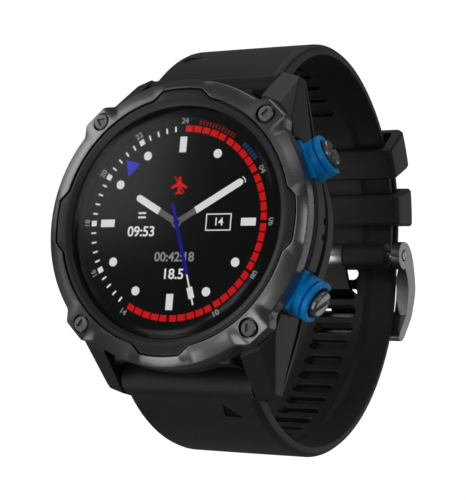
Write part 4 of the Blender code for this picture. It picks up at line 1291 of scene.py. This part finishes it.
def turn_clock(degrees):
    return Matrix.Rotation(math.radians(degrees), 4, "Y")


def at_clock(bm, degrees, radius=0.0):
    """Moves a flat drawn about the centre out to a clock place, turned with it."""
    return moved(bm, turn_clock(degrees) @ at(0, 0, radius))


def digits(text, height, matrix):
    """Plain digits as a thin mesh, upright in the dial's plane and centred."""
    curve = bpy.data.curves.new("digits", "FONT")
    curve.body = text
    curve.size = height / FONT_CAP_SHARE
    curve.align_x = "CENTER"
    curve.align_y = "CENTER"
    curve.offset = height * FONT_BOLDER_SHARE
    curve.extrude = PRINT_DEEP / 2
    obj = bpy.data.objects.new("digits", curve)
    bpy.context.scene.collection.objects.link(obj)
    bpy.context.view_layer.update()
    mesh = bpy.data.meshes.new_from_object(obj.evaluated_get(bpy.context.evaluated_depsgraph_get()))
    bpy.data.objects.remove(obj)
    bm = bmesh.new()
    bm.from_mesh(mesh)
    bpy.data.meshes.remove(mesh)
    bmesh.ops.remove_doubles(bm, verts=bm.verts, dist=1e-4)
    middle = at(0, DIAL_FACE - PRINT_GAP - PRINT_DEEP / 2, 0)
    bm.transform(matrix @ middle @ Matrix.Rotation(math.radians(90), 4, "X"))
    return bm


def red_ring():
    """Seven hours of red blocks, five to an hour, with a wider gap at each hour."""
    blocks = []
    for k in range(35):
        first = 6 * k + (HOUR_GAP_DEG if k % 5 == 0 else BLOCK_GAP_DEG)
        last = 6 * k + 6 - (HOUR_GAP_DEG if k % 5 == 4 else BLOCK_GAP_DEG)
        blocks.append(flat(band(*RING_RADII, first, last)))
    return blocks


def white_marks():
    marks = []
    for k in range(1, 25):
        degrees = 210 + 6 * k
        size = (1.0, -0.5, 0.5) if degrees % 30 == 0 else (0.3, -0.48, 0.48)
        mark = flat(bar(*size))
        marks.append(at_clock(mark, degrees, TICK_RADIUS))
    for hour in (0, 1, 3, 4, 5, 6, 7, 8, 9, 10, 11):
        shape = bar(1.35, -1.4, 1.4) if hour % 3 == 0 else disc(0.8)
        marks.append(at_clock(flat(shape), 30 * hour, HOUR_MARK_RADIUS))
    return marks


def date_frame():
    """A thin frame round the date."""
    left, right, half, line = 5.75, 10.65, 1.5, 0.2
    sides = ((left, right, half - line, half), (left, right, -half, line - half),
             (left, left + line, line - half, half - line),
             (right - line, right, line - half, half - line))
    return [flat([(x0, z0), (x1, z0), (x1, z1), (x0, z1)]) for x0, x1, z0, z1 in sides]


def hour_digits():
    """Small even hours round the edge, feet to the centre; the lowest are turned over."""
    shapes = []
    for degrees in (0, 60, 90, 120, 150, 210, 240, 270, 300, 330):
        turned_over = 180 if 150 <= degrees <= 210 else 0
        spin = turn_clock(degrees) @ at(0, 0, DIGIT_RADIUS) @ turn_clock(turned_over)
        shapes.append(digits(f"{(degrees // 15) or 24:02d}", 1.0, spin))
    return shapes


def caption_marks(width, first_deg, count):
    """Plain ticks in place of a curved caption."""
    return [at_clock(flat(bar(width, -0.42, 0.42)), first_deg + 2.1 * k, CAPTION_RADIUS)
            for k in range(count)]


def make_dial():
    outline = [(0, DIAL_FACE), (DIAL_RADIUS, DIAL_FACE), (DIAL_RADIUS, DIAL_BACK), (0, DIAL_BACK)]
    piece("dial_face", turned(outline, 160), "dial_black", "case", ["display_panel"])
    white = white_marks() + date_frame()
    readings = (("09:53", 1.75, -6.9, -1.6), ("14", 1.3, 8.2, 0.0), ("18.5", 1.75, 0.2, -9.1))
    for text, height, x, z in readings:
        white.append(digits(text, height, at(x, 0, z)))
    white += [moved(flat(bar(1.5, -0.17, 0.17)), at(-7.0, 0, 1.0 + 0.75 * k)) for k in range(2)]
    timer = digits("00:42:18", 1.6, at(0.15, 0, -6.1))
    pointer = flat([(-1.6, -1.15), (1.6, -1.15), (0.0, 1.6)])
    on_dial("dial_red_ring", red_ring(), "print_red")
    on_dial("dial_white_marks", white, "print_white")
    on_dial("dial_hour_digits", hour_digits() + [timer], "print_dim")
    on_dial("dial_plane", plane_symbol(), "print_red")
    on_dial("dial_red_marks", caption_marks(0.34, 10, 12), "print_dim_red")
    on_dial("dial_blue_marks", caption_marks(0.4, 41.5, 6), "print_sky")
    on_dial("dial_pointer", [at_clock(pointer, 315.5, 14.5)], "print_blue")


def plane_symbol():
    """A plain aircraft sign with a bar across it."""
    half = [(0.0, 1.6), (0.28, 1.2), (0.3, 0.45), (1.55, -0.35), (1.55, -0.75), (0.3, -0.3),
            (0.25, -1.15), (0.7, -1.5), (0.7, -1.75), (0.0, -1.55)]
    outline = half + [(-x, z) for x, z in reversed(half[1:-1])]
    place = at(-0.05, 0, 6.7)
    slash = moved(flat(bar(0.22, -1.8, 1.8), 0.01), place @ turn_clock(-35))
    return [moved(flat(outline), place), slash]


def make_hands():
    """Hour, minute and seconds hands, drawn on the display one over the other."""
    width = HAND_WIDTH
    grey, white = [], []
    for degrees, tip in ((HOUR_HAND_DEG, 9.6), (MINUTE_HAND_DEG, 14.2)):
        grey.append(at_clock(flat(bar(width * 0.85, 0.6, 4.2), BASE_LIFT), degrees))
        white.append(at_clock(flat(capsule(width, 4.1, tip), BASE_LIFT), degrees))
    grey.append(flat(disc(0.95), BASE_LIFT))
    white.append(at_clock(flat(band(0.85, 1.0, -40, 40), BASE_LIFT), MINUTE_HAND_DEG, 13.7))
    white.append(at_clock(flat(bar(0.28, 9.6, 15.1), SECONDS_LIFT), SECONDS_HAND_DEG))
    white.append(at_clock(flat(bar(1.1, -1.0, 1.0), SECONDS_LIFT + 0.001), SECONDS_HAND_DEG, 12.9))
    navy = [at_clock(flat(bar(0.66, -3.6, 9.6), SECONDS_LIFT), SECONDS_HAND_DEG),
            flat(disc(0.6), SECONDS_LIFT)]
    on_dial("hands_base", grey, "print_grey")
    on_dial("hands_white", white, "print_white")
    on_dial("hand_seconds", navy, "print_navy")


# --- the rest of the frame


def repaint_inside():
    """CAD nodes that keep their own shape get a finished material."""
    groups = {
        "rubber": ["lens_gasket", "rear_gasket"] + [f"seal_{n}" for n in BUTTON_DEG],
        "steel": ["lug_pin_upper", "lug_pin_lower", "depth_sensor", "vibration_motor"],
        "board": ["main_board"],
        "foil": ["battery"],
        "case_polymer": ["charge_port"],
        "gold": [f"charge_contact_{k}" for k in range(1, 5)],
    }
    for material, nodes in groups.items():
        for node in nodes:
            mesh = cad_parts[node].data
            mesh.materials.clear()
            mesh.materials.append(MATERIALS[material])


# --- studio


# Where each light comes from, its width and height, its radiance, and its distance if not the usual
SOFTBOXES = {
    "front_left": ((-0.60, -0.75, 0.30), 0.24, 0.24, 1.8),
    "upper_left": ((-0.79, -0.49, 0.36), 0.32, 0.32, 2.2),
    "left": ((-0.77, -0.63, -0.02), 0.1, 0.2, 1.2),
    "top": ((0.1, 0.05, 1.0), 0.6, 0.5, 0.9, 0.7),
    "upper_front": ((0.095, -0.87, 0.48), 0.14, 0.14, 1.8),
    "right_back": ((0.42, 0.88, 0.0), 0.12, 0.7, 1.5),
    "right_front": ((0.9, -0.42, 0.12), 0.3, 0.3, 2.0),
    "low_front": ((-0.13, -0.96, -0.20), 0.2, 0.2, 3.6),
    "low_left": ((-0.43, -0.77, -0.46), 0.26, 0.2, 3.4),
    "below": ((-0.40, -0.45, -0.80), 0.4, 0.3, 1.4),
}


def make_camera():
    data = bpy.data.cameras.new("camera")
    data.sensor_width = 36.0
    data.lens = CAMERA_LENS
    camera = bpy.data.objects.new("camera", data)
    forward = Vector(CAMERA_FORWARD).normalized()
    right = forward.cross(Vector(CAMERA_UP)).normalized()
    up = right.cross(forward)
    camera.matrix_world = at(*CAMERA_PLACE) @ Matrix((right, up, -forward)).transposed().to_4x4()
    bpy.context.scene.collection.objects.link(camera)
    bpy.context.scene.camera = camera


def softbox(name, direction, width, height, radiance, distance=LIGHTS_AWAY):
    """A panel that lights the object from a direction with an even glow."""
    data = bpy.data.lights.new(name, "AREA")
    data.shape = "RECTANGLE"
    data.size = width
    data.size_y = height
    data.energy = radiance * math.pi * width * height
    light = bpy.data.objects.new(name, data)
    out = Vector(direction).normalized()
    light.location = Vector(LIGHTS_AIM) + out * distance
    light.rotation_mode = "QUATERNION"
    light.rotation_quaternion = out.to_track_quat("Z", "Y")
    bpy.context.scene.collection.objects.link(light)


def camera_only(name, bm, material):
    """A part of the set, seen by the camera only, so that its glow doesn't reach the object."""
    mesh = bpy.data.meshes.new(name)
    bm.to_mesh(mesh)
    bm.free()
    mesh.materials.append(material)
    obj = bpy.data.objects.new(name, mesh)
    bpy.context.scene.collection.objects.link(obj)
    for light_path in ("visible_diffuse", "visible_glossy", "visible_transmission", "visible_shadow"):
        setattr(obj, light_path, False)
    return obj


def make_backdrop():
    """A pale shell far around everything."""
    bm = bmesh.new()
    bmesh.ops.create_icosphere(bm, subdivisions=4, radius=BACKDROP_RADIUS)
    bmesh.ops.reverse_faces(bm, faces=bm.faces)
    shell = camera_only("backdrop", bm, glowing_backdrop())


def make_floor():
    bm = bmesh.new()
    bmesh.ops.create_grid(bm, x_segments=8, y_segments=8, size=FLOOR_HALF_SIDE)
    floor = camera_only("floor", moved(bm, at(0, 0, FLOOR_Z)), pale_floor())


def make_studio():
    """A pale floor and backdrop, and soft lights round the object."""
    make_floor()
    make_backdrop()
    for name, settings in SOFTBOXES.items():
        softbox(name, *settings)
    world = bpy.data.worlds.new("studio")
    world.use_nodes = True
    background = world.node_tree.nodes["Background"]
    background.inputs["Color"].default_value = (1.0, 1.0, 1.0, 1.0)
    background.inputs["Strength"].default_value = WORLD_GLOW
    bpy.context.scene.world = world
    bpy.context.scene.view_settings.view_transform = "Standard"


# --- build


make_camera()
make_bezel()
make_bezel_insert()
make_lens()
make_case_shell()
make_rear_cover()
make_sensor_window()
make_screws()
for button, direction in BUTTON_DEG.items():
    make_button(button, direction)
    make_spring(button, direction)
    if button in GUARDED:
        make_guard(button, direction)
make_straps()
make_latches()
make_buckle()
make_tongue()
for (keeper, span), rider in zip(KEEPER_SPANS_DEG.items(), ("keeper_a", "keeper_b")):
    make_keeper(keeper, rider, *span)
make_dial()
make_hands()
repaint_inside()
make_studio()
